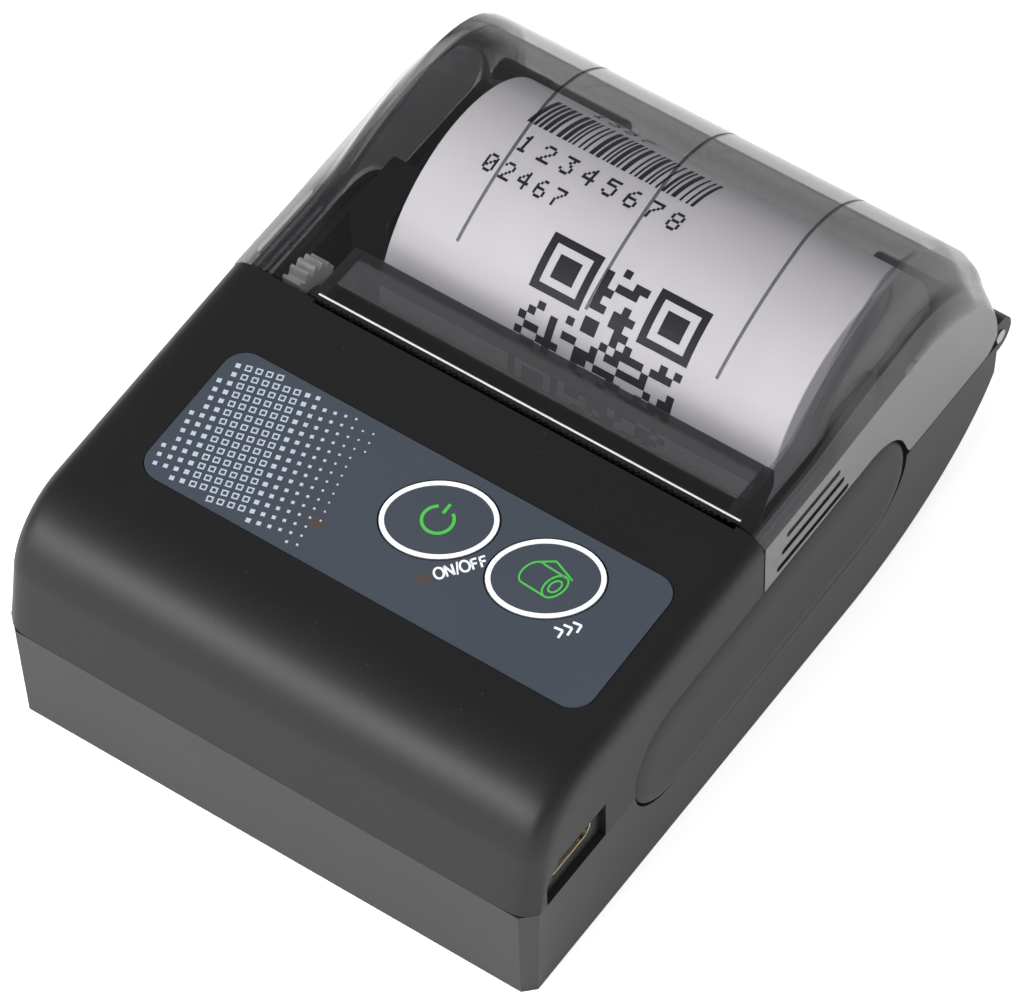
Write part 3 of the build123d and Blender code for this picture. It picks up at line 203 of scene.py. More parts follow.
def smooth(piece: Piece, angle: float = 32.0) -> Piece:
    """Shade a piece smoothly, with edges sharper than this angle in degrees kept.

    Args:
        piece: The piece.
        angle: Sharpest angle that is shaded smoothly.

    Returns:
        The piece.
    """
    piece.data.shade_smooth()
    piece.data.set_sharp_from_angle(angle=math.radians(angle))
    return piece


def soften(piece: Piece, width: float, segments: int = 2, angle: float = 35.0) -> Piece:
    """Round a piece's edges with a bevel of this width in millimetres.

    Args:
        piece: The piece.
        width: The bevel's width.
        segments: Its steps.
        angle: Edges sharper than this angle in degrees are rounded.

    Returns:
        The piece.
    """
    bevel = piece.modifiers.new("rounded_edges", "BEVEL")
    bevel.width = width * MM
    bevel.segments = segments
    bevel.limit_method = "ANGLE"
    bevel.angle_limit = math.radians(angle)
    bevel.harden_normals = True
    return piece


def prism(name: str, outline: Array, low: float, high: float, place: Mapping) -> Piece:
    """Carry a closed outline straight from one level to another and close both ends.

    Args:
        name: The piece's name.
        outline: Points of the outline in the view's own two directions.
        low: First level along the view's third direction.
        high: Last level along it.
        place: Puts the three directions into the part frame.

    Returns:
        A closed prism.
    """
    count = len(outline)
    levels = np.array([low, high])[:, None] * np.ones(count)
    points = place(np.tile(outline[:, 0], (2, 1)), np.tile(outline[:, 1], (2, 1)), levels)
    return close_up(mesh_piece(name, points, tube_faces(2, count)))


def carve(piece: Piece, cutters: Sequence[Piece]) -> Piece:
    """Take the cutters' volumes out of a piece and remove the cutters.

    Args:
        piece: The piece.
        cutters: Closed shapes to take out.

    Returns:
        The piece.
    """
    for cutter in cutters:
        cut = piece.modifiers.new("cut", "BOOLEAN")
        cut.operation = "DIFFERENCE"
        cut.solver = "EXACT"
        cut.object = cutter
    graph = bpy.context.evaluated_depsgraph_get()
    carved = bpy.data.meshes.new_from_object(piece.evaluated_get(graph))
    piece.modifiers.clear()
    piece.data = carved
    for cutter in cutters:
        bpy.data.objects.remove(cutter)
    return piece


def unit(turn: Array) -> Array:
    """Return the points of the unit circle at angles in radians."""
    return np.stack([np.cos(turn), np.sin(turn)], axis=-1)


def circle(centre: Sequence[float], radius: float, count: int = 64) -> Array:
    """Return points on a circle: the centre plus the radius times cosine and sine."""
    turn = np.linspace(0, 2 * np.pi, count, endpoint=False)
    return np.array(centre) + radius * unit(turn)


def spin(angle: float) -> Array:
    """Return the matrix that turns rows of points by an angle in radians."""
    return np.array([[math.cos(angle), math.sin(angle)], [-math.sin(angle), math.cos(angle)]])


def stadium(
    centre: Sequence[float], length: float, height: float, tilt: float = 0.0, count: int = 24
) -> Array:
    """Draw a long round-ended outline: two half circles joined by straight runs, then turned.

    Args:
        centre: Its middle.
        length: Its whole length with the round ends.
        height: Its height, which is twice the ends' radius.
        tilt: The angle that it is turned by, in degrees.
        count: Points on each end.

    Returns:
        The outline's points.
    """
    radius = height / 2
    turn = np.linspace(-np.pi / 2, np.pi / 2, count)
    cap = unit(turn) * radius
    cap[:, 0] += length / 2 - radius
    return np.array(centre) + np.concatenate([cap, -cap]) @ spin(math.radians(tilt))


def rounded_box(
    centre: Sequence[float], width: float, height: float, radius: float, count: int = 10
) -> Array:
    """Draw a rectangle with each corner replaced by a quarter circle.

    Args:
        centre: Its middle.
        width: Its whole width.
        height: Its whole height.
        radius: The corners' radius.
        count: Points on each corner.

    Returns:
        The outline's points.
    """
    turn = np.linspace(0, np.pi / 2, count)
    quarter = unit(turn) * radius
    corners = []
    for index, (sx, sy) in enumerate(((1, 1), (-1, 1), (-1, -1), (1, -1))):
        middle = [sx * (width / 2 - radius), sy * (height / 2 - radius)]
        corners.append(quarter @ spin(index * np.pi / 2) + middle)
    return np.array(centre) + np.concatenate(corners)


def oval(length: float, width: float, turn: float = 0.0, count: int = 96) -> Array:
    """Return an ellipse's outline about the origin, turned by an angle in degrees."""
    return circle((0, 0), 0.5, count) * [length, width] @ spin(math.radians(turn))


def key_oval(grow: float, length: float = 14.6, width: float = 11.4, turn: float = 30.0) -> Array:
    """Return a key's outline, grown all round."""
    return oval(length + 2 * grow, width + 2 * grow, turn)


def arc_through(first: Array, middle: Array, last: Array, count: int) -> Array:
    """Return points on the circle through three points, from the first to the last.

    The centre is where the two chords' bisectors cross, and the points turn evenly about it.

    Args:
        first: First point.
        middle: A point between the two.
        last: Last point.
        count: How many points to return.

    Returns:
        The arc's points.
    """
    chords = np.array([middle - first, last - middle])
    level = (chords * (np.array([middle + first, last + middle]) / 2)).sum(axis=1)
    centre = np.linalg.solve(chords, level)
    start, mid, end = (math.atan2(*(p - centre)[::-1]) for p in (first, middle, last))
    turn = (end - start) % (2 * math.pi)
    if (mid - start) % (2 * math.pi) > turn:
        turn -= 2 * math.pi
    angles = start + turn * np.linspace(0, 1, count)
    radius = np.linalg.norm(first - centre)
    return centre + radius * unit(angles)


def line(first: Array, last: Array, count: int) -> Array:
    """Return evenly spaced points from the first to the last."""
    return first + (last - first) * np.linspace(0, 1, count)[:, None]


def rounded(points: Array, passes: int, axis: int) -> Array:
    """Round creases by moving each inner point halfway to its neighbours' middle, several times.

    Args:
        points: A grid of points.
        passes: How many times.
        axis: The grid's direction along which it works.

    Returns:
        The rounded grid.
    """
    grid = np.moveaxis(points.copy(), axis, 0)
    for _ in range(passes):
        grid[1:-1] = grid[1:-1] / 2 + (grid[:-2] + grid[2:]) / 4
    return np.moveaxis(grid, 0, axis)


def turned(name: str, profile: Array, place: Mapping, count: int = 64) -> Piece:
    """Turn a profile round an axis: height stays, and radius goes round as cosine and sine.

    Args:
        name: The piece's name.
        profile: Rows of radius and height. It may start and end on the axis.
        place: Takes the two directions across the axis and the height along it.
        count: Steps round the axis.

    Returns:
        A closed turned solid.
    """
    turn = np.linspace(0, 2 * np.pi, count, endpoint=False)
    radius, height = profile[:, :1], profile[:, 1:]
    points = place(radius * np.cos(turn), radius * np.sin(turn), height * np.ones(count))
    return close_up(mesh_piece(name, points, grid_quads(len(profile), count, wrap_columns=True)))


# --------------------------------------------------------------------------- materials


class Recipe:
    """A node tree under construction, with short ways to add and link nodes."""

    def __init__(self, tree: bpy.types.NodeTree) -> None:
        """Start on an empty tree."""
        self.tree = tree
        self.tree.nodes.clear()

    def add(self, kind: str, inputs: dict | None = None, **settings: object) -> Node:
        """Add a node.

        Args:
            kind: Its type without the word ShaderNode in front.
            inputs: Values or sockets for its inputs, by name or number.
            **settings: Values of the node's own properties.

        Returns:
            The new node.
        """
        node = self.tree.nodes.new(kind if kind.startswith("Node") else f"ShaderNode{kind}")
        for key, value in settings.items():
            setattr(node, key, value)
        for key, value in (inputs or {}).items():
            if isinstance(value, Socket):
                self.tree.links.new(value, node.inputs[key])
            elif isinstance(value, tuple) and len(value) == 3 and node.inputs[key].type == "RGBA":
                node.inputs[key].default_value = (*value, 1.0)
            else:
                node.inputs[key].default_value = value
        return node

    def noise(
        self, scale: float | Socket, detail: float, roughness: float = 0.5, place: Socket | None = None
    ) -> Socket:
        """Add a noise, in the object's own coordinates where no place is given, and return its value."""
        place = place or self.add("TexCoord").outputs["Object"]
        inputs = {"Vector": place, "Scale": scale, "Detail": detail, "Roughness": roughness}
        return self.add("TexNoise", inputs).outputs[0]

    def send(self, sink: Node, **results: Socket) -> None:
        """Link results to the inputs of an output node."""
        for key, value in results.items():
            self.tree.links.new(value, sink.inputs[key])

    def math(self, operation: str, *values: float | Socket) -> Socket:
        """Add a Math node and return its result."""
        return self.add("Math", dict(enumerate(values)), operation=operation).outputs[0]

    def mix(self, factor: object, first: object, second: object) -> Socket:
        """Mix two colours and return the result."""
        inputs = {0: factor, 6: first, 7: second}
        return self.add("Mix", inputs, data_type="RGBA").outputs[2]

    def ramp(self, factor: Socket, low: float, high: float) -> Socket:
        """Spread a value from low to high over 0 to 1 and return it."""
        inputs = {"Value": factor, "From Min": low, "From Max": high}
        return self.add("MapRange", inputs, interpolation_type="SMOOTHSTEP").outputs[0]


def effect_group(
    name: str, inputs: dict[str, float], outputs: dict[str, str]
) -> tuple[Recipe, dict, Node]:
    """Start a node group with named inputs and outputs.

    Args:
        name: The group's name.
        inputs: Default value of each number that it takes.
        outputs: Socket type of each result.

    Returns:
        The recipe, the input sockets by name and the output node.
    """
    tree = bpy.data.node_groups.new(name, "ShaderNodeTree")
    recipe = Recipe(tree)
    for key, value in inputs.items():
        socket = tree.interface.new_socket(key, in_out="INPUT", socket_type="NodeSocketFloat")
        socket.default_value = value
    for key, kind in outputs.items():
        tree.interface.new_socket(key, in_out="OUTPUT", socket_type=f"NodeSocket{kind}")
    source = recipe.add("NodeGroupInput")
    sink = recipe.add("NodeGroupOutput")
    return recipe, {key: source.outputs[key] for key in inputs}, sink


class Effect(Enum):
    """Surface effects that several finishes share, each one node group."""

    GRAIN = "moulded_grain"
    HANDLING = "handling_marks"
    DRAWN = "drawn_metal_lines"

    def tree(self) -> bpy.types.NodeTree:
        """Return the effect's node group, built when it is first asked for.

        Returns:
            The node group.
        """
        found = bpy.data.node_groups.get(self.value)
        if found is None:
            {Effect.GRAIN: grain_group, Effect.HANDLING: handling_group, Effect.DRAWN: drawn_group}[self]()
            found = bpy.data.node_groups[self.value]
        return found


def grain_group() -> None:
    """Build the moulded grain: two noises, one fine for its height and one broad for its tone."""
    recipe, given, sink = effect_group(
        Effect.GRAIN.value, {"Scale": 4000.0}, {"Height": "Float", "Tone": "Float"}
    )
    fine = recipe.noise(given["Scale"], 3.0, 0.6)
    speckle = recipe.math("MULTIPLY", recipe.math("SUBTRACT", fine, 0.5), 0.6)
    recipe.send(sink, Height=fine, Tone=recipe.math("ADD", recipe.noise(45.0, 4.0, 0.55), speckle))


def handling_group() -> None:
    """Build handling marks: sparse lint on faces that look up, and faint rubbed patches."""
    recipe, given, sink = effect_group(
        Effect.HANDLING.value, {"Amount": 1.0}, {"Lint": "Float", "Rub": "Float"}
    )
    place = recipe.add("TexCoord").outputs["Object"]
    up = recipe.add("SeparateXYZ", {0: recipe.add("NewGeometry").outputs["Normal"]}).outputs["Z"]
    upward = recipe.ramp(up, -0.3, 0.9)
    specks = recipe.add("TexVoronoi", {"Vector": place, "Scale": 420.0, "Randomness": 1.0})
    lint = recipe.math("SUBTRACT", 1.0, recipe.ramp(specks.outputs["Distance"], 0.03, 0.075))
    rub = recipe.math("MULTIPLY", recipe.ramp(recipe.noise(90.0, 6.0, 0.7), 0.5, 0.8), given["Amount"])
    scaled = recipe.math("MULTIPLY", upward, given["Amount"])
    recipe.send(sink, Lint=recipe.math("MULTIPLY", lint, scaled), Rub=rub)


def drawn_group() -> None:
    """Build drawn metal lines: noise stretched along X, so that it runs in fine streaks."""
    recipe, given, sink = effect_group(
        Effect.DRAWN.value, {"Scale": 2500.0}, {"Height": "Float", "Tone": "Float"}
    )
    place = recipe.add("TexCoord").outputs["Object"]
    stretched = recipe.add("Mapping", {"Vector": place, "Scale": (0.04, 1.0, 1.0)}).outputs[0]
    streak = recipe.noise(given["Scale"], 2.0, place=stretched)
    recipe.send(sink, Height=streak, Tone=recipe.noise(120.0, 3.0))


class Finish:
    """A finish that can be given to pieces and builds its material once."""

    name: str

    def material(self) -> bpy.types.Material:
        """Return the finish's material, built when it is first asked for.

        Returns:
            The material.
        """
        found = bpy.data.materials.get(self.name)
        if found is None:
            found = bpy.data.materials.new(self.name)
            found.use_nodes = True
            recipe = Recipe(found.node_tree)
            recipe.send(recipe.add("OutputMaterial"), Surface=self.surface(recipe))
        return found

    def surface(self, recipe: Recipe) -> Socket:
        """Build the shader and return its output."""
        raise NotImplementedError

    def give(self, piece: Piece) -> Piece:
        """Put the finish on every face of a piece.

        Args:
            piece: The piece.

        Returns:
            The piece.
        """
        piece.data.materials.clear()
        piece.data.materials.append(self.material())
        return piece

    def group(self, recipe: Recipe, effect: Effect, **values: float) -> Node:
        """Place a shared effect in this finish's tree with its own values.

        Args:
            recipe: The material's node tree.
            effect: The effect.
            **values: Values of its inputs.

        Returns:
            The group's node.
        """
        node = recipe.add("Group", node_tree=effect.tree())
        for key, value in values.items():
            node.inputs[key].default_value = value
        return node

    def bump(
        self, recipe: Recipe, height: Socket, depth: float, strength: float
    ) -> Socket:
        """Turn a height into a normal, with the depth in millimetres."""
        inputs = {"Height": height, "Distance": depth * MM, "Strength": strength}
        return recipe.add("Bump", inputs).outputs[0]


@dataclass(frozen=True)
class MouldedPlastic(Finish):
    """Injection moulded plastic with a fine grain, broad tone changes and light handling marks."""

    name: str
    colour: Colour
    roughness: float = 0.42
    specular: float = 0.5
    grain: float = 4000.0
    grain_depth: float = 0.02
    grain_strength: float = 0.35
    variation: float = 0.12
    marks: float = 0.5
    lint_share: float = 0.25
    tone_roughness: float = 0.08
    rub_polish: float = 0.06

    def surface(self, recipe: Recipe) -> Socket:
        """Vary colour and roughness with the grain's tone and add lint and rubbed patches.

        Args:
            recipe: The material's node tree.

        Returns:
            The shader's output.
        """
        grain = self.group(recipe, Effect.GRAIN, Scale=self.grain)
        marks = self.group(recipe, Effect.HANDLING, Amount=self.marks)
        dark = tuple(c * (1 - self.variation) for c in self.colour)
        light = tuple(min(1.0, c * (1 + self.variation)) for c in self.colour)
        lint = tuple(min(1.0, c * 0.6 + 0.16) for c in self.colour)
        base = recipe.mix(grain.outputs["Tone"], dark, light)
        speck = recipe.math("MULTIPLY", marks.outputs["Lint"], self.lint_share)
        spread = recipe.math("MULTIPLY", grain.outputs["Tone"], self.tone_roughness)
        rub = recipe.math("MULTIPLY", marks.outputs["Rub"], self.rub_polish)
        rough = recipe.math("ADD", spread, self.roughness - self.tone_roughness / 2)
        inputs = {
            "Base Color": recipe.mix(speck, base, lint),
            "Roughness": recipe.math("SUBTRACT", rough, rub),
            "Specular IOR Level": self.specular,
            "Normal": self.bump(recipe, grain.outputs["Height"], self.grain_depth, self.grain_strength),
        }
        return recipe.add("BsdfPrincipled", inputs).outputs[0]


@dataclass(frozen=True)
class Metal(Finish):
    """Drawn, ground or plated metal with fine streaks."""

    name: str
    colour: Colour
    roughness: float = 0.28
    streak_strength: float = 0.2
    streak_roughness: float = 0.16
    dark_share: float = 0.82

    def surface(self, recipe: Recipe) -> Socket:
        """Vary roughness and colour with the streaks.

        Args:
            recipe: The material's node tree.

        Returns:
            The shader's output.
        """
        lines = self.group(recipe, Effect.DRAWN)
        dark = tuple(c * self.dark_share for c in self.colour)
        spread = recipe.math("MULTIPLY", lines.outputs["Height"], self.streak_roughness)
        rough = recipe.math("ADD", spread, self.roughness - self.streak_roughness / 2)
        inputs = {
            "Base Color": recipe.mix(lines.outputs["Tone"], dark, self.colour),
            "Roughness": rough,
            "Metallic": 1.0,
            "Normal": self.bump(recipe, lines.outputs["Height"], 0.01, self.streak_strength),
        }
        return recipe.add("BsdfPrincipled", inputs).outputs[0]


@dataclass(frozen=True)
class SmokedClear(Finish):
    """Tinted clear plastic: a tinted see-through layer under a clean polished surface."""

    name: str
    tint: Colour
    smoke: Colour
    roughness: float = 0.04
    edge_smoke: float = 0.5
    haze: float = 0.0
    scratch_roughness: float = 0.05
    edge_blend: float = 0.35
    edge_power: float = 1.25
    refraction: float = 1.45
    shadow_light: float = 0.88

    def surface(self, recipe: Recipe) -> Socket:
        """Mix see-through tint, dark smoke at grazing angles and, on outer faces, a mirror layer.

        Args:
            recipe: The material's node tree.

        Returns:
            The shader's output.
        """
        spread = recipe.math("MULTIPLY", recipe.noise(700.0, 5.0), self.scratch_roughness)
        rough = recipe.math("ADD", spread, self.roughness - self.scratch_roughness / 2)
        clear = recipe.add("BsdfTransparent", {"Color": self.tint})
        inputs = {"Base Color": self.smoke, "Roughness": rough, "Coat Weight": 0.0}
        body = recipe.add("BsdfPrincipled", inputs)
        facing = recipe.add("LayerWeight", {"Blend": self.edge_blend}).outputs["Facing"]
        edge = recipe.math("MULTIPLY", recipe.math("POWER", facing, self.edge_power), self.edge_smoke)
        weight = recipe.math("MINIMUM", recipe.math("ADD", edge, self.haze), 1.0)
        tinted = recipe.add("MixShader", {0: weight, 1: clear.outputs[0], 2: body.outputs[0]})
        inputs = {"Base Color": (1.0, 1.0, 1.0), "Metallic": 1.0, "Roughness": rough}
        polish = recipe.add("BsdfPrincipled", inputs)
        outer = recipe.math("SUBTRACT", 1.0, recipe.add("NewGeometry").outputs["Backfacing"])
        mirror = recipe.add("Fresnel", {"IOR": self.refraction}).outputs[0]
        fresnel = recipe.math("MULTIPLY", mirror, outer)
        mixed = recipe.add("MixShader", {0: fresnel, 1: tinted.outputs[0], 2: polish.outputs[0]})
        lit = recipe.add("BsdfTransparent", {"Color": (self.shadow_light,) * 3})
        shadow = recipe.add("LightPath").outputs["Is Shadow Ray"]
        return recipe.add("MixShader", {0: shadow, 1: mixed.outputs[0], 2: lit.outputs[0]}).outputs[0]


@dataclass(frozen=True)
class ThermalPaper(Finish):
    """Smooth coated paper, with the wound edges of its turns on the roll's ends."""

    name: str
    colour: Colour
    axis_distance: float
    axis_height: float
    turn_lines: float = 0.12
    line_pitch: float = 0.24
    line_share: float = 0.7
    worn_share: float = 0.9
    roughness: float = 0.55

    def surface(self, recipe: Recipe) -> Socket:
        """Show thin rings on faces that look along X, and faint fibres elsewhere.

        Args:
            recipe: The material's node tree.

        Returns:
            The shader's output.
        """
        place = recipe.add("TexCoord").outputs["Object"]
        origin = (0.0, -(self.axis_distance + FRONT_Y) * MM, -self.axis_height * MM)
        centred = recipe.add("Mapping", {"Vector": place, "Location": origin}).outputs[0]
        flat = recipe.add("VectorMath", {0: centred, 1: (0.0, 1.0, 1.0)}, operation="MULTIPLY").outputs[0]
        radius = recipe.add("VectorMath", {0: flat}, operation="LENGTH").outputs["Value"]
        rings = recipe.math("SINE", recipe.math("MULTIPLY", radius, 2 * math.pi / (self.line_pitch * MM)))
        normal = recipe.add("NewGeometry").outputs["Normal"]
        across = recipe.math("ABSOLUTE", recipe.add("SeparateXYZ", {0: normal}).outputs["X"])
        on_end = recipe.ramp(across, 0.6, 0.95)
        wave = recipe.math("ADD", recipe.math("MULTIPLY", rings, 0.5), 0.5)
        depth = recipe.math("MULTIPLY", wave, on_end)
        worn = tuple(c * self.worn_share for c in self.colour)
        grey = tuple(c * (1 - self.turn_lines) ** 3 for c in self.colour)
        base = recipe.mix(recipe.noise(60.0, 3.0), worn, self.colour)
        inputs = {
            "Base Color": recipe.mix(recipe.math("MULTIPLY", depth, self.line_share), base, grey),
            "Roughness": self.roughness,
            "Normal": self.bump(recipe, recipe.noise(3500.0, 4.0), 0.01, 0.15),
        }
        return recipe.add("BsdfPrincipled", inputs).outputs[0]


@dataclass(frozen=True)
class Ink(Finish):
    """A printed layer of ink with slightly uneven cover."""

    name: str
    colour: Colour
    roughness: float = 0.5

    def surface(self, recipe: Recipe) -> Socket:
        """Vary the ink's density with a fine noise.

        Args:
            recipe: The material's node tree.

        Returns:
            The shader's output.
        """
        thin = tuple(c * 0.86 + 0.01 for c in self.colour)
        colour = recipe.mix(recipe.noise(1800.0, 3.0), thin, self.colour)
        inputs = {"Base Color": colour, "Roughness": self.roughness}
        return recipe.add("BsdfPrincipled", inputs).outputs[0]


@dataclass(frozen=True)
class Finishes:
    """Every finish on the printer."""

    casing: Finish = MouldedPlastic("casing_plastic", shade(25, 25, 26), roughness=0.42, specular=0.36)
    base: Finish = MouldedPlastic("base_plastic", shade(31, 31, 32), roughness=0.42, specular=0.46)
    bucket: Finish = MouldedPlastic(
        "bucket_plastic", shade(26, 26, 27), roughness=0.35, grain_strength=0.15
    )
    frame: Finish = MouldedPlastic("frame_plastic", shade(30, 30, 31), roughness=0.4, grain_strength=0.2)
    grip: Finish = MouldedPlastic(
        "grip_rubber", shade(38, 38, 39), roughness=0.5, grain=5200.0, specular=0.4
    )
    film: Finish = MouldedPlastic(
        "overlay_film", shade(60, 67, 77), roughness=0.38, grain=5200.0, variation=0.06
    )
    key: Finish = MouldedPlastic(
        "key_film", shade(60, 67, 77), roughness=0.38, grain=5200.0, variation=0.05
    )
    cover: Finish = SmokedClear(
        "smoked_polycarbonate", (0.86, 0.855, 0.86), shade(40, 40, 42), edge_smoke=1.15
    )
    # Darker, hazier smoke for the groove faces: painted shade standing in for the dark look of the cut
    # grooves.
    groove: Finish = SmokedClear(
        "smoked_groove_painted_shade", (0.4, 0.4, 0.41), shade(26, 26, 28), edge_smoke=0.9, haze=0.4
    )
    # Darker smoke for the band near each side: painted shade where the wall is seen edge-on.
    band: Finish = SmokedClear(
        "smoked_edge_band_painted_shade", (0.7, 0.7, 0.71), shade(30, 30, 32), edge_smoke=1.1, haze=0.22
    )
    # Paler smoke for the flanks, the outer side walls: painted reflection of the bright surroundings.
    flank_painted_reflection: Finish = SmokedClear(
        "smoked_flank_painted_reflection", (0.7, 0.7, 0.71), shade(86, 86, 88), roughness=0.12, haze=0.5
    )
    bracket: Finish = SmokedClear(
        "smoked_bracket", (0.70, 0.70, 0.71), shade(52, 52, 54), edge_smoke=0.9, haze=0.35
    )
    # Pale smoke for the bracket plate: painted reflection that lightens the view through the cover's flat
    # front.
    reflection_plate: Finish = SmokedClear(
        "smoked_plate_painted_reflection", (0.8, 0.8, 0.81), shade(122, 122, 124), edge_smoke=0.3, haze=0.32
    )
    # Pale plastic for a thin rod along the cover's front edge: a painted highlight.
    edge_highlight: Finish = MouldedPlastic(
        "cover_edge_painted_highlight", shade(196, 196, 196), roughness=0.2, grain_strength=0.02
    )
    lamp: Finish = MouldedPlastic("lamp_rods", shade(74, 66, 62), roughness=0.2, grain_strength=0.02)
    white_ink: Finish = Ink("white_ink", shade(240, 243, 246))
    pale_ink: Finish = Ink("pale_ink", shade(178, 188, 200))
    green_ink: Finish = Ink("green_ink", shade(70, 182, 70))
    print_black: Finish = Ink("thermal_print", shade(28, 26, 32))
    paper: Finish = ThermalPaper("thermal_paper", shade(244, 242, 246), 79.5, 24.5)
    core: Finish = MouldedPlastic(
        "roll_core_plastic", shade(205, 203, 198), roughness=0.45, grain_strength=0.1
    )
    roller: Finish = MouldedPlastic(
        "roller_rubber", shade(22, 22, 23), roughness=0.55, grain=3000.0, marks=0.2
    )
    gear: Finish = MouldedPlastic(
        "gear_plastic", shade(196, 196, 192), roughness=0.4, grain_strength=0.05
    )
    bush: Finish = MouldedPlastic("bush_plastic", shade(52, 52, 54), roughness=0.4, grain_strength=0.1)
    switch: Finish = MouldedPlastic(
        "switch_plastic", shade(40, 40, 42), roughness=0.35, grain_strength=0.05
    )
    chip: Finish = MouldedPlastic("chip_resin", shade(24, 24, 26), roughness=0.6, grain_strength=0.2)
    board: Finish = MouldedPlastic("solder_mask", shade(18, 84, 44), roughness=0.25, grain_strength=0.05)
    battery: Finish = MouldedPlastic(
        "battery_wrap", shade(62, 88, 122), roughness=0.3, grain_strength=0.05
    )
    cable: Finish = MouldedPlastic(
        "flat_cable_film", shade(220, 214, 200), roughness=0.35, grain_strength=0.02
    )
    steel: Finish = Metal("ground_steel", shade(200, 200, 202))
    dark_steel: Finish = Metal("blackened_steel", shade(88, 88, 92), roughness=0.35)
    head: Finish = Metal("head_alloy", shade(206, 206, 208), roughness=0.32)
    brass: Finish = Metal("cut_brass", shade(222, 184, 104), roughness=0.25)
    port: Finish = Metal("port_shell_metal", shade(214, 202, 180), roughness=0.22)


FINISH = Finishes()

# --------------------------------------------------------------------------- placing pieces


def settle(piece: Piece, body: str, slot: str, finish: Finish, *nodes: str) -> Piece:
    """Finish a new piece and fix it to its body.

    Args:
        piece: The piece, with its place in its mesh.
        body: The body that it rides on.
        slot: The record's material slot; not used.
        finish: Its finish.
        *nodes: CAD nodes that it stands for.

    Returns:
        The piece.
    """
    finish.give(piece)
    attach(piece, body)
    if nodes:
        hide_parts(*nodes)
    LOG.info("%s rides on %s with %d faces", piece.name, body, len(piece.data.polygons))
    return piece


def dress(frame: dict, finish: Finish, *nodes: str) -> None:
    """Give CAD nodes that stay in view their finish.

    Args:
        frame: The loaded frame.
        finish: The finish.
        *nodes: Names of the nodes.
    """
    for node in nodes:
        finish.give(frame["nodes"][node])
        LOG.info("%s has the finish %s", node, finish.name)


@dataclass
class Deck:
    """The sloping deck of the top casing, on which the overlay and keys lie."""

    line: float = 49.2
    height: float = 37.9
    tilt: float = 3.17

    def level(self, distance: Array | float) -> Array | float:
        """Return the deck's height at a distance: a straight slope up to its rear line."""
        return self.height - (self.line - distance) * math.tan(math.radians(self.tilt))

    def place(self, x: Array, distance: Array, lift: Array) -> Array:
        """Put a plan's point on the deck, raised along the deck's own normal.

        Args:
            x: X of the points.
            distance: Their distance behind the front face, on the deck.
            lift: Height above the deck.

        Returns:
            Points of the part frame.
        """
        a = math.radians(self.tilt)
        along = (np.asarray(distance) - self.line) / math.cos(a)
        back = self.line + along * math.cos(a) - np.asarray(lift) * math.sin(a)
        up = self.height + along * math.sin(a) + np.asarray(lift) * math.cos(a)
        return at(x, back, up)


DECK = Deck()


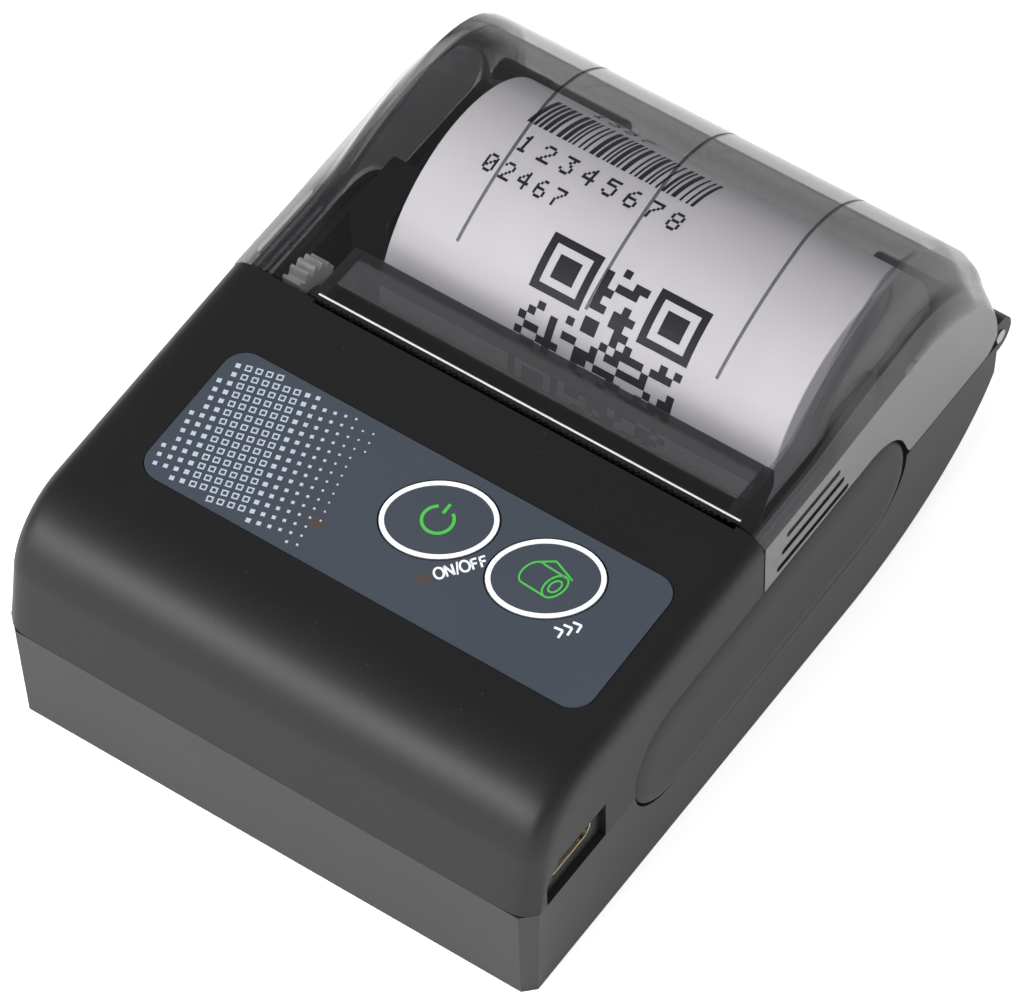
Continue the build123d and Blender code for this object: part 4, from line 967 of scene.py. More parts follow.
@dataclass
class Graphic:
    """Flat marks made of quads, laid on a surface as a thin layer of ink."""

    place: Mapping
    lift: float = 0.03
    sink: float = 0.02

    def __post_init__(self) -> None:
        """Start with no quads."""
        self.quads: list[Array] = []

    def stroke(self, path: Array, width: float, closed: bool = False) -> Graphic:
        """Draw a line: at each point of the path, half the width to both sides along its normal.

        Args:
            path: Points along the line.
            width: The line's width.
            closed: Whether it ends where it starts.

        Returns:
            The graphic itself.
        """
        if closed:
            path = np.concatenate([path, path[:1]])
        step = np.gradient(path, axis=0)
        if closed:
            step[0] = step[-1] = path[1] - path[-2]
        normal = np.stack([-step[:, 1], step[:, 0]], axis=-1)
        normal /= np.linalg.norm(normal, axis=1, keepdims=True)
        left, right = path + normal * width / 2, path - normal * width / 2
        self.quads.append(np.stack([right[:-1], right[1:], left[1:], left[:-1]], axis=1))
        return self

    def dash(self, first: Sequence[float], last: Sequence[float], width: float, count: int = 3) -> Graphic:
        """Draw a straight line from one point to another."""
        return self.stroke(line(np.asarray(first), np.asarray(last), count), width)

    def boxes(self, corners: Array) -> Graphic:
        """Add boxes, given as rows of low x, low y, high x and high y.

        Args:
            corners: One row for each box.

        Returns:
            The graphic itself.
        """
        x0, y0, x1, y1 = corners.T
        quad = [np.stack(p, axis=-1) for p in ((x0, y0), (x1, y0), (x1, y1), (x0, y1))]
        self.quads.append(np.stack(quad, axis=1))
        return self

    def squares(self, centres: Array, sizes: Array, turn: float, hollow: Array) -> Graphic:
        """Add turned squares. Where hollow is above 0 only a rim of that share of the size is left.

        Args:
            centres: Centre of each square.
            sizes: Side length of each square.
            turn: Angle of all squares in degrees.
            hollow: Share of the half side that the rim takes, or 0 for a full square.

        Returns:
            The graphic itself.
        """
        a = math.radians(turn) + np.pi / 4 + np.arange(4) * np.pi / 2
        ring = unit(a) / math.sqrt(2)
        outer = centres[:, None] + sizes[:, None, None] * ring
        full = hollow <= 0
        self.quads.append(outer[full])
        inner = centres[:, None] + (sizes * (1 - hollow))[:, None, None] * ring
        for k in range(4):
            n = (k + 1) % 4
            rim = np.stack([outer[:, k], outer[:, n], inner[:, n], inner[:, k]], axis=1)
            self.quads.append(rim[~full])
        return self

    def piece(self, name: str, body: str, slot: str, finish: Finish) -> Piece:
        """Make one mesh of all quads, each a thin closed block, and fix it to its body.

        Args:
            name: The piece's name.
            body: The body that it rides on.
            slot: Its material slot; not used.
            finish: Its ink.

        Returns:
            The new piece.
        """
        flat = np.concatenate(self.quads)
        count = len(flat)
        levels = np.array([-self.sink, self.lift])[:, None, None] * np.ones((count, 4))
        x, y = (np.broadcast_to(flat[..., k], (2, count, 4)) for k in (0, 1))
        points = np.moveaxis(self.place(x, y, levels), 0, 1).reshape(-1, 3)
        block = np.array([[3, 2, 1, 0], [4, 5, 6, 7], [0, 1, 5, 4], [1, 2, 6, 5], [2, 3, 7, 6], [3, 0, 4, 7]])
        faces = (block[None] + 8 * np.arange(count)[:, None, None]).reshape(-1, 4)
        made = mesh_piece(name, points, faces)
        shape = bmesh.new()
        shape.from_mesh(made.data)
        bmesh.ops.recalc_face_normals(shape, faces=shape.faces)
        shape.to_mesh(made.data)
        shape.free()
        return settle(made, body, slot, finish)


# --------------------------------------------------------------------------- sub-assemblies


@dataclass
class SideOpening:
    """The long round-ended opening that holds a side grip, drawn in the side view."""

    front: float = 22.0
    rear: float = 81.0
    height: float = 18.8
    radius: float = 8.25
    tilt: float = 1.3
    pocket: float = 1.2

    def outline(self, grow: float, count: int = 24) -> Array:
        """Return the opening's outline grown all round.

        Args:
            grow: How far it is grown.
            count: Points on each end.

        Returns:
            The outline's points.
        """
        length = self.rear - self.front + 2 * grow
        middle = ((self.front + self.rear) / 2, self.height)
        return stadium(middle, length, 2 * (self.radius + grow), self.tilt, count)

    def top(self, distance: Array, grow: float) -> Array:
        """Return the height of the opening's upper edge: level, then falling round its rear end.

        Args:
            distance: Distances behind the front face.
            grow: How far the opening is grown.

        Returns:
            The height at each distance.
        """
        slope = math.tan(math.radians(self.tilt))
        centre = self.height + (distance - (self.front + self.rear) / 2) * slope
        reach = np.clip(distance - (self.rear - self.radius), 0, self.radius + grow)
        return centre + np.sqrt((self.radius + grow) ** 2 - reach**2)


OPENING = SideOpening()


@dataclass
class TopCasing:
    """The front shell: leaning front, large round, deck, and all its openings.

    The mouth holds its low X, high X, front and rear, and the recess its front, rear, foot, top and
    the cut across its upper front corner. The lean starts at a height under the seam.
    """

    half_width: float = 39.0
    wall: float = 2.0
    seam: float = 17.0
    rear: float = 49.05
    lean: float = 80.9
    front_round: float = 11.6
    corner: float = 1.9
    overlay_centre: Pair = (2.15, 27.7)
    overlay_size: Pair = (64.7, 21.4)
    overlay_corner: float = 3.0
    overlay_sink: float = 0.25
    key_gap: float = 0.12
    key_depth: float = 1.5
    stem_hole: float = 2.15
    keys: tuple[Pair, ...] = ((4.9, 30.6), (20.3, 30.6))
    light_hole: float = 0.95
    lights: tuple[Pair, ...] = ((-7.1, 22.4), (8.2, 22.6))
    hole_depth: float = 6.0
    above: float = 2.0
    outside: float = 42.0
    mouth: Four = (-26.5, 35.0, 48.5, 60.0)
    mouth_levels: Pair = (33.0, 42.0)
    port_centre: Pair = (9.4, 20.9)
    port_opening: Pair = (9.5, 3.7)
    port_depth: float = 4.0
    recess: tuple[float, float, float, float, float] = (3.4, 15.6, 10.0, 23.5, 2.6)
    recess_depth: float = 1.0
    overlay_room: float = 0.2
    grip_room: float = 0.25
    lean_start: float = 16.8

    def profile(self) -> tuple[Array, Array]:
        """Return the skin's side profile and its inward normals.

        The front goes up at its lean, an arc turns it to the deck's slope, and the deck goes back
        in a straight line.

        Returns:
            The profile's points, and at each of them a unit vector into the shell.
        """
        a, t = math.radians(self.lean), math.radians(DECK.tilt)
        up, back = np.array([math.cos(a), math.sin(a)]), np.array([math.cos(t), math.sin(t)])
        foot = np.array([(self.seam - self.lean_start) / math.tan(a), self.seam])
        roof = np.array([self.rear, float(DECK.level(self.rear))])
        steps = np.linalg.solve(np.stack([up, -back], axis=1), roof - foot)
        corner = foot + up * steps[0]
        cut = self.front_round * math.tan((a - t) / 2)
        start, end = corner - up * cut, corner + back * cut
        inward = np.array([math.sin(a), -math.cos(a)])
        centre = start + inward * self.front_round
        turn = np.linspace(a + np.pi / 2, t + np.pi / 2, 40)
        arc = centre + self.front_round * unit(turn)
        points = np.concatenate([line(foot, start, 12)[:-1], arc, line(end, roof, 40)[1:]])
        step = np.gradient(points, axis=0)
        normal = np.stack([step[:, 1], -step[:, 0]], axis=-1)
        return points, normal / np.linalg.norm(normal, axis=1, keepdims=True)

    def skin(self) -> Array:
        """Return the outer skin as a grid of points.

        Across each row, the profile point runs straight between the two side chamfers, and each
        side wall goes from the profile moved inwards by the chamfer down to the seam.

        Returns:
            Points by column across the casing and then along the profile.
        """
        points, normal = self.profile()
        edge = points + normal * self.corner
        share = np.linspace(0, 1, len(points))
        along = edge[0, 0] + share * (self.rear - edge[0, 0])
        foot = np.stack([along, np.full(len(points), self.seam)], axis=-1)
        edge[:, 1] = np.maximum(edge[:, 1], self.seam)
        edge[:, 0] = np.minimum(edge[:, 0], self.rear)
        down = np.linspace(0, 1, 14)[:, None, None]
        wall = foot + (edge - foot) * down
        part = np.linspace(0, 1, 7)[1:]
        cut = edge + (points - edge) * part[:, None, None]
        wall_x = np.full(len(wall), self.half_width)
        cut_x = self.half_width - self.corner * part
        flat_x = np.linspace(-1, 1, 41)[1:-1] * (self.half_width - self.corner)
        flat = np.broadcast_to(points, (len(flat_x), *points.shape))
        columns = np.concatenate([wall, cut, flat, cut[::-1], wall[::-1]])
        x = np.concatenate([-wall_x, -cut_x, flat_x, cut_x[::-1], wall_x])
        grid = at(x[:, None], columns[..., 0], columns[..., 1])
        return rounded(grid, 3, 0)

    def cutters(self) -> list[Piece]:
        """Make the shapes that open the shell for the overlay, keys, lights, mouth, port and grips.

        Those that overlap end at slightly different levels outside the shell, so that their ends
        don't lie in one plane.

        Returns:
            The cutters, in the order in which they are taken out.
        """
        size = (s + self.overlay_room for s in self.overlay_size)
        recess = rounded_box(self.overlay_centre, *size, self.overlay_corner)
        made = [prism("overlay_recess", recess, -self.overlay_sink, self.above, DECK.place)]
        for centre in self.keys:
            pocket, stem = key_oval(self.key_gap) + centre, circle(centre, self.stem_hole, 32)
            made.append(prism("key_pocket", pocket, -self.key_depth, self.above + 0.1, DECK.place))
            made.append(prism("stem_hole", stem, -self.hole_depth, self.above + 0.2, DECK.place))
        for centre in self.lights:
            light = circle(centre, self.light_hole, 32)
            made.append(prism("light_hole", light, -self.hole_depth, self.above + 0.3, DECK.place))
        left, right, front, rear = self.mouth
        slot = np.array([[left, front], [right, front], [right, rear], [left, rear]])
        made.append(prism("mouth_slot", slot, *self.mouth_levels, plan_view))
        low, high, foot, top, cut = self.recess
        shape = np.array([[low, foot], [high, foot], [high, top], [low + cut, top], [low, top - cut]])
        made.append(prism("port_recess", shape, self.half_width - self.recess_depth, self.outside, side_view))
        port, depth = stadium(self.port_centre, *self.port_opening), self.half_width - self.port_depth
        made.append(prism("port_hole", port, depth, self.outside + 0.5, side_view))
        for side in (-1, 1):
            low, high = sorted((side * (self.half_width - OPENING.pocket), side * (self.outside + 1.0)))
            made.append(prism("grip_pocket", OPENING.outline(self.grip_room), low, high, side_view))
        return made

    def build(self) -> None:
        """Make the shell from its skin and open it."""
        grid = self.skin()
        shell = mesh_piece("top_shell", grid, grid_quads(*grid.shape[:2]))
        close_up(shell, outward=False)
        wall = shell.modifiers.new("wall", "SOLIDIFY")
        wall.thickness = self.wall * MM
        wall.offset = -1.0
        carve(shell, self.cutters())
        smooth(shell, 30.0)
        settle(shell, "casing", "casing", FINISH.casing, "top_casing")


@dataclass
class Grips:
    """The two soft side grips, crowned like cushions."""

    half_width: float = 39.0
    pocket: float = 1.2
    rim: float = 0.55
    crown: float = 1.55
    steps: int = 22
    crowding: float = 1.6
    reach: float = 0.995
    shoulder: float = 0.42
    fullness: float = 0.9

    def build(self) -> None:
        """Make each grip from rings between its outline and its middle line.

        Going in from the rim, the surface rises as a quarter ellipse in the first part and stays
        nearly level after it.
        """
        for name, side in (("grip_left", -1), ("grip_right", 1)):
            inward = np.linspace(0, 1, self.steps) ** self.crowding
            rings = [OPENING.outline(-OPENING.radius * self.reach * s) for s in inward]
            outline = np.stack(rings)
            edge = np.clip(inward / self.shoulder, 0, 1)
            rise = self.rim + (self.crown - self.rim) * np.sqrt(1 - (1 - edge) ** 2) ** self.fullness
            x = (self.half_width - self.pocket + rise)[:, None] * np.ones(outline.shape[1])
            front = at(side * x, outline[..., 0], outline[..., 1])
            floor = at(side * (self.half_width - self.pocket), outline[:1, :, 0], outline[:1, :, 1])
            points = np.concatenate([floor, front])
            grip = close_up(mesh_piece(name, points, tube_faces(*points.shape[:2])))
            smooth(grip, 50.0)
            settle(grip, "casing", "grips", FINISH.grip, f"side_{name}")


@dataclass
class Level:
    """One side view of the paper cover at its own distance from the middle.

    Heights of the front and the fold are above the deck. The other points are the distance ahead
    of the rear face and the height above the roll.
    """

    x: float
    front: float
    fold: float
    rise: Pair
    peak: Pair
    fall: Pair
    back: Pair
    tail: Pair
    turn: Pair
    heel: Pair


LEVELS = (
    Level(
        39.0, -2.0, -1.8, (33, -6.5), (22, -6.1), (13.5, -6.5),
        (7.8, -9.3), (5, -12.4), (3.1, -15.6), (2.3, -19),
    ),
    Level(
        36.2, 0.0, 0.4, (33, -2.7), (23, -1.7), (13.5, -2.8),
        (7.4, -6.1), (3.8, -10.4), (1.6, -13.9), (0.8, -17.5),
    ),
    Level(
        35.0, 0.0, 0.6, (33.8, -0.6), (21.5, 1.3), (12.5, -0.8),
        (6.8, -4.4), (3, -9.1), (0.9, -12.4), (0.1, -16),
    ),
    Level(
        33.0, 0.0, 0.8, (33, 0.6), (20, 4.3), (12, 2.3),
        (6.1, -2.9), (2, -8.7), (0.5, -11.7), (0.0, -15),
    ),
)


@dataclass
class PaperCover:
    """The smoked paper cover with its bracket, grooves, finger slots and hinge knuckles.

    The bore holds its near end, far end and radius, and the blade's seat its low X, front, high X and
    rear. The pale plate, which is painted reflection, has its length, height and corner radius as its
    size. The groove share says where along a side view the grooves start and end, and over which part
    they fade.
    """

    front: float = 49.35
    crease: float = 62.5
    rear: float = 104.0
    roll_top: float = 43.0
    low: float = 20.0
    wall: float = 1.6
    grooves: tuple[float, ...] = (-16.3, 2.7, 21.7)
    groove_depth: float = 0.28
    groove_half_width: float = 0.22
    groove_ends: Pair = (64.6, 99.0)
    # X range of the edge band, whose darker smoke is painted shade; beyond it the flanks get paler smoke as
    # painted reflection.
    band: Pair = (33.6, 37.3)
    hinge: Pair = (104.2, 18.6)
    barrel: float = 2.7
    knuckle_gap: float = 30.85
    hinge_low: float = 21.8
    platen: Pair = (53.16, 30.2)
    cheeks: Pair = (-28.0, 33.5)
    bracket_wall: float = 1.4
    bracket_rear: float = 59.6
    bracket_step: float = 3.0
    cheek_radius: float = 3.5
    bush_hole: float = 2.5
    cheek_edge: float = 0.15
    knuckle_edge: float = 0.2
    knuckle: Pair = (19.0, 30.7)
    bore: Triple = (19.5, 32.0, 1.05)
    blade_seat: Four = (-26.5, 40.0, 35.0, 49.85)
    seat_levels: Pair = (35.5, 41.0)
    slots: tuple[Pair, ...] = ((33.5, 11.7), (31.1, 13.7), (28.7, 15.7))
    slot_distance: float = 59.8
    slot_width: float = 1.0
    slot_sides: Pair = (38.55, 41.0)
    # Place and size of the pale rod that paints the front edge's highlight.
    edge_highlight_distance: float = 49.95
    edge_highlight_sink: float = 0.02
    edge_highlight_radius: float = 0.14
    # Size and place of the pale plate, which is painted reflection.
    reflection_plate_size: Triple = (4.6, 0.7, 0.3)
    reflection_plate_distance: float = 56.0
    reflection_plate_drop: float = 0.4
    reflection_plate_gaps: Pair = (0.05, 1.5)
    groove_share: Triple = (0.21, 0.86, 0.02)
    grip_room: float = 0.35
    hinge_rise: float = 1.6

    def behind(self, point: Pair) -> Array:
        """Turn a distance ahead of the rear face and a height above the roll into a side view's point."""
        return np.array([self.rear - point[0], self.roll_top + point[1]])

    def view(self, level: Level, low: float) -> Array:
        """Draw one side view: flat front, two arcs over the dome, rear slope, heel and rear wall.

        Args:
            level: The side view's points.
            low: Height at which the rear wall ends.

        Returns:
            Points from the front to the foot of the rear wall.
        """
        start = np.array([self.front, DECK.height + level.front])
        fold = np.array([self.crease, DECK.height + level.fold])
        peak, back, tail, heel = (self.behind(p) for p in (level.peak, level.back, level.tail, level.heel))
        parts = [
            line(start, fold, 26),
            arc_through(fold, self.behind(level.rise), peak, 46),
            arc_through(peak, self.behind(level.fall), back, 34),
            line(back, tail, 14),
            arc_through(tail, self.behind(level.turn), heel, 14),
            line(heel, np.array([heel[0], low]), 14),
        ]
        return np.concatenate([parts[0]] + [part[1:] for part in parts[1:]])

    def foot(self, count: int) -> Array:
        """Return the lower edge of a side wall.

        It goes round the grip's opening, then level, and rises at the end to clear the hinge.

        Args:
            count: How many points to return.

        Returns:
            Points from the front to the rear.
        """
        end = self.rear - LEVELS[0].heel[0]
        distance = np.linspace(self.front, end, count)
        clear = (self.hinge_low - self.low) * np.clip((distance - end) / self.hinge_rise + 1, 0, 1)
        top = OPENING.top(distance, self.grip_room)
        return np.stack([distance, np.maximum(top, self.low + clear)], axis=-1)

    def columns(self) -> tuple[Array, Array]:
        """Spread columns over the flat top, closer together at the grooves.

        Returns:
            The X of every column, and how far it is pressed in as a share of the grooves' depth.
        """
        clear, deep = 0.5, self.groove_half_width
        plain = np.linspace(-1, 1, 61)[1:-1] * LEVELS[3].x
        keep = np.min(np.abs(plain[:, None] - np.array(self.grooves)), axis=1) > clear + 0.1
        offsets = np.array([-clear, -deep, -0.6 * deep, 0.0, 0.6 * deep, deep, clear])
        depth = np.array([0, 0, 0.8, 1.0, 0.8, 0, 0])
        x = np.concatenate([plain[keep], *(g + offsets for g in self.grooves)])
        mask = np.concatenate([np.zeros(keep.sum())] + [depth] * len(self.grooves))
        order = np.argsort(x)
        return x[order], mask[order]

    def skins(self) -> tuple[Array, Array]:
        """Return the outer and the inner skin as grids.

        Each column is a side view, joined straight to the next level's, and creases are rounded by
        averaging. The grooves are pressed into the outer skin along the surface's normal, and the
        inner skin is the same surface moved in by the wall.

        Returns:
            The outer grid and the inner grid, point for point.
        """
        views = [self.view(level, self.hinge_low) for level in LEVELS]
        rows = len(views[0])
        wall = self.foot(rows) + (views[0] - self.foot(rows)) * np.linspace(0, 1, 18)[:, None, None]
        x = [np.full(18, LEVELS[0].x)]
        columns = [wall]
        for low, high, count in ((0, 1, 8), (1, 2, 6), (2, 3, 8)):
            share = np.linspace(0, 1, count)[1:]
            columns.append(views[low] + (views[high] - views[low]) * share[:, None, None])
            x.append(LEVELS[low].x + (LEVELS[high].x - LEVELS[low].x) * share)
        side = np.concatenate(columns)
        side_x = np.concatenate(x)
        top_x, mask = self.columns()
        middle = (np.abs(top_x) < self.knuckle_gap)[:, None, None]
        top = np.where(middle, self.view(LEVELS[3], self.low), views[3])
        all_x = np.concatenate([-side_x, top_x, side_x[::-1]])
        every = np.concatenate([side, top, side[::-1]])
        grid = at(all_x[:, None], every[..., 0], every[..., 1])
        grid[..., 1:] = rounded(grid, 3, 0)[..., 1:]
        grid = rounded(grid, 3, 1)
        pressed = np.concatenate([np.zeros(len(side_x)), mask, np.zeros(len(side_x))])[:, None]
        along = np.linspace(0, 1, rows)
        first, last, ramp = self.groove_share
        fade = np.clip((along - first) / ramp, 0, 1) * np.clip((last - along) / ramp, 0, 1)
        groove = pressed * fade
        normal = np.cross(np.gradient(grid, axis=0), np.gradient(grid, axis=1))
        normal /= np.linalg.norm(normal, axis=-1, keepdims=True) + 1e-12
        normal *= np.sign(normal[len(normal) // 2, rows // 2, 2])
        return grid - normal * groove[..., None] * self.groove_depth, grid - normal * self.wall

    def cutters(self) -> list[Piece]:
        """Make the shapes taken out of the shell: the blade's seat and the finger slots.

        Returns:
            The cutters, in the order in which they are taken out.
        """
        left, front, right, rear = self.blade_seat
        seat = np.array([[left, front], [right, front], [right, rear], [left, rear]])
        made = [prism("blade_seat", seat, *self.seat_levels, plan_view)]
        for side in (-1, 1):
            for height, length in self.slots:
                low, high = sorted(side * x for x in self.slot_sides)
                slot = stadium((self.slot_distance, height), length, self.slot_width)
                made.append(prism("finger_slot", slot, low, high, side_view))
        return made

    def shell(self) -> None:
        """Make the smoked shell with its wall and cuts, and give each of its zones a finish."""
        outer, inner = self.skins()
        rows, columns = outer.shape[:2]
        number = np.arange(rows * columns).reshape(rows, columns)
        border = np.concatenate([number[0, :-1], number[:-1, -1], number[-1, :0:-1], number[:0:-1, 0]])
        after = np.roll(border, -1)
        quads = grid_quads(rows, columns)
        rim = np.stack([border, after, after + number.size, border + number.size], axis=1)
        faces = np.concatenate([quads, quads[:, ::-1] + number.size, rim])
        points = np.concatenate([outer.reshape(-1, 3), inner.reshape(-1, 3)])
        shell = mesh_piece("cover_shell", points, faces.tolist())
        # Zone finishes: plain smoke, then painted shade on the grooves and edge band, and painted reflection
        # on the flanks.
        finishes = (FINISH.cover, FINISH.groove, FINISH.band, FINISH.flank_painted_reflection)
        for finish in finishes:
            shell.data.materials.append(finish.material())
        zone = self.zones(outer.reshape(-1, 3)[quads].mean(axis=1))
        zone = np.concatenate([zone, np.where(zone == 1, 0, zone), np.zeros(len(rim), np.int32)])
        shell.data.polygons.foreach_set("material_index", zone.astype(np.int32))
        close_up(shell)
        carve(shell, self.cutters())
        smooth(shell, 34.0)
        kept = np.empty(len(shell.data.polygons), np.int32)
        shell.data.polygons.foreach_get("material_index", kept)
        settle(shell, "cover", "smoked_cover", FINISH.cover, "paper_cover")
        for finish in finishes[1:]:
            shell.data.materials.append(finish.material())
        shell.data.polygons.foreach_set("material_index", kept)

    def zones(self, middles: Array) -> Array:
        """Number the skin's faces by where their middles lie: 1 groove, 2 edge band, 3 flank, 0 the rest.
        Groove and edge band faces get darker smoke as painted shade; flank faces get paler smoke as
        painted reflection.

        Args:
            middles: The middle of each face.

        Returns:
            One number for each face.
        """
        x, y, z = middles.T
        # Groove faces, which get the darker smoke of painted shade.
        apart = np.min(np.abs(x[:, None] - np.array(self.grooves)), axis=1)
        front, rear = (d + FRONT_Y for d in self.groove_ends)
        groove = (apart < self.groove_half_width) & (y > front) & (y < rear) & (z > DECK.height)
        # The edge band gets darker smoke as painted shade, and the flanks beyond it paler smoke as painted
        # reflection.
        side = np.abs(x)
        band = (side > self.band[0]) & (side < self.band[1])
        return np.where(groove, 1, np.where(side >= self.band[1], 3, np.where(band, 2, 0))).astype(np.int32)

    def edge_highlight(self) -> None:
        """Make a pale rod right behind the tear teeth: a painted highlight that shows as the cover edge's
        bright line.
        """
        left, _, right, _ = self.blade_seat
        centre = (self.edge_highlight_distance, float(DECK.level(self.edge_highlight_distance)) - self.edge_highlight_sink)
        edge_highlight = prism("cover_edge_highlight", circle(centre, self.edge_highlight_radius, 16), left, right, side_view)
        settle(smooth(edge_highlight), "cover", "smoked_cover", FINISH.edge_highlight)

    def reflection_plate(self) -> None:
        """Make a pale plate that joins the cheeks behind the roller: painted reflection that lightens the
        view through the flat front.
        """
        above, beside = self.reflection_plate_gaps
        top = DECK.height - self.wall - above
        side = rounded_box((0, 0), *self.reflection_plate_size) + [self.reflection_plate_distance, top - self.reflection_plate_drop]
        reflection_plate = prism("bracket_plate_painted_reflection", side, self.cheeks[0] + beside, self.cheeks[1] - beside, side_view)
        settle(smooth(reflection_plate), "cover", "smoked_cover", FINISH.reflection_plate)

    def bracket(self) -> None:
        """Make the bracket under the cover's flat front: two cheeks and a rear web."""
        distance, height = self.platen
        reach, top, foot = self.cheek_radius, DECK.height - self.wall, height + self.bracket_step
        front, rear = self.bracket_rear - self.bracket_wall, self.bracket_rear
        left, right = self.cheeks[0] + self.bracket_wall, self.cheeks[1] - self.bracket_wall
        turn = np.radians(np.linspace(180, 360, 25))
        bowl = np.array([distance, height]) + reach * unit(turn)
        outline = np.concatenate([bowl, [[rear, foot], [rear, top], [distance - reach, top]]])
        for name, near, far in (
            ("bracket_cheek_left", self.cheeks[0], left),
            ("bracket_cheek_right", right, self.cheeks[1]),
        ):
            cheek = prism(name, outline, near, far, side_view)
            hole = circle(self.platen, self.bush_hole, 40)
            carve(cheek, [prism("bush_hole", hole, near - 1, far + 1, side_view)])
            soften(smooth(cheek), self.cheek_edge)
            settle(cheek, "cover", "smoked_cover", FINISH.bracket)
        web = np.array([[front, foot], [rear, foot], [rear, top], [front, top]])
        piece = prism("bracket_web", web, left, right, side_view)
        settle(soften(smooth(piece), self.cheek_edge), "cover", "smoked_cover", FINISH.bracket)

    def knuckles(self) -> None:
        """Make the two hinge knuckles: rings round the hinge line with the pin's bore."""
        for name, side in (("cover_knuckle_left", -1), ("cover_knuckle_right", 1)):
            low, high = sorted(side * x for x in self.knuckle)
            outline = circle(self.hinge, self.barrel, 48)
            knuckle = prism(name, outline, low, high, side_view)
            near, far = sorted(side * x for x in self.bore[:2])
            carve(knuckle, [prism("bore", circle(self.hinge, self.bore[2], 32), near, far, side_view)])
            settle(soften(smooth(knuckle), self.knuckle_edge), "cover", "smoked_cover", FINISH.bracket)

    def build(self) -> None:
        """Make every piece of the cover."""
        self.shell()
        self.edge_highlight()
        self.reflection_plate()
        self.bracket()
        self.knuckles()


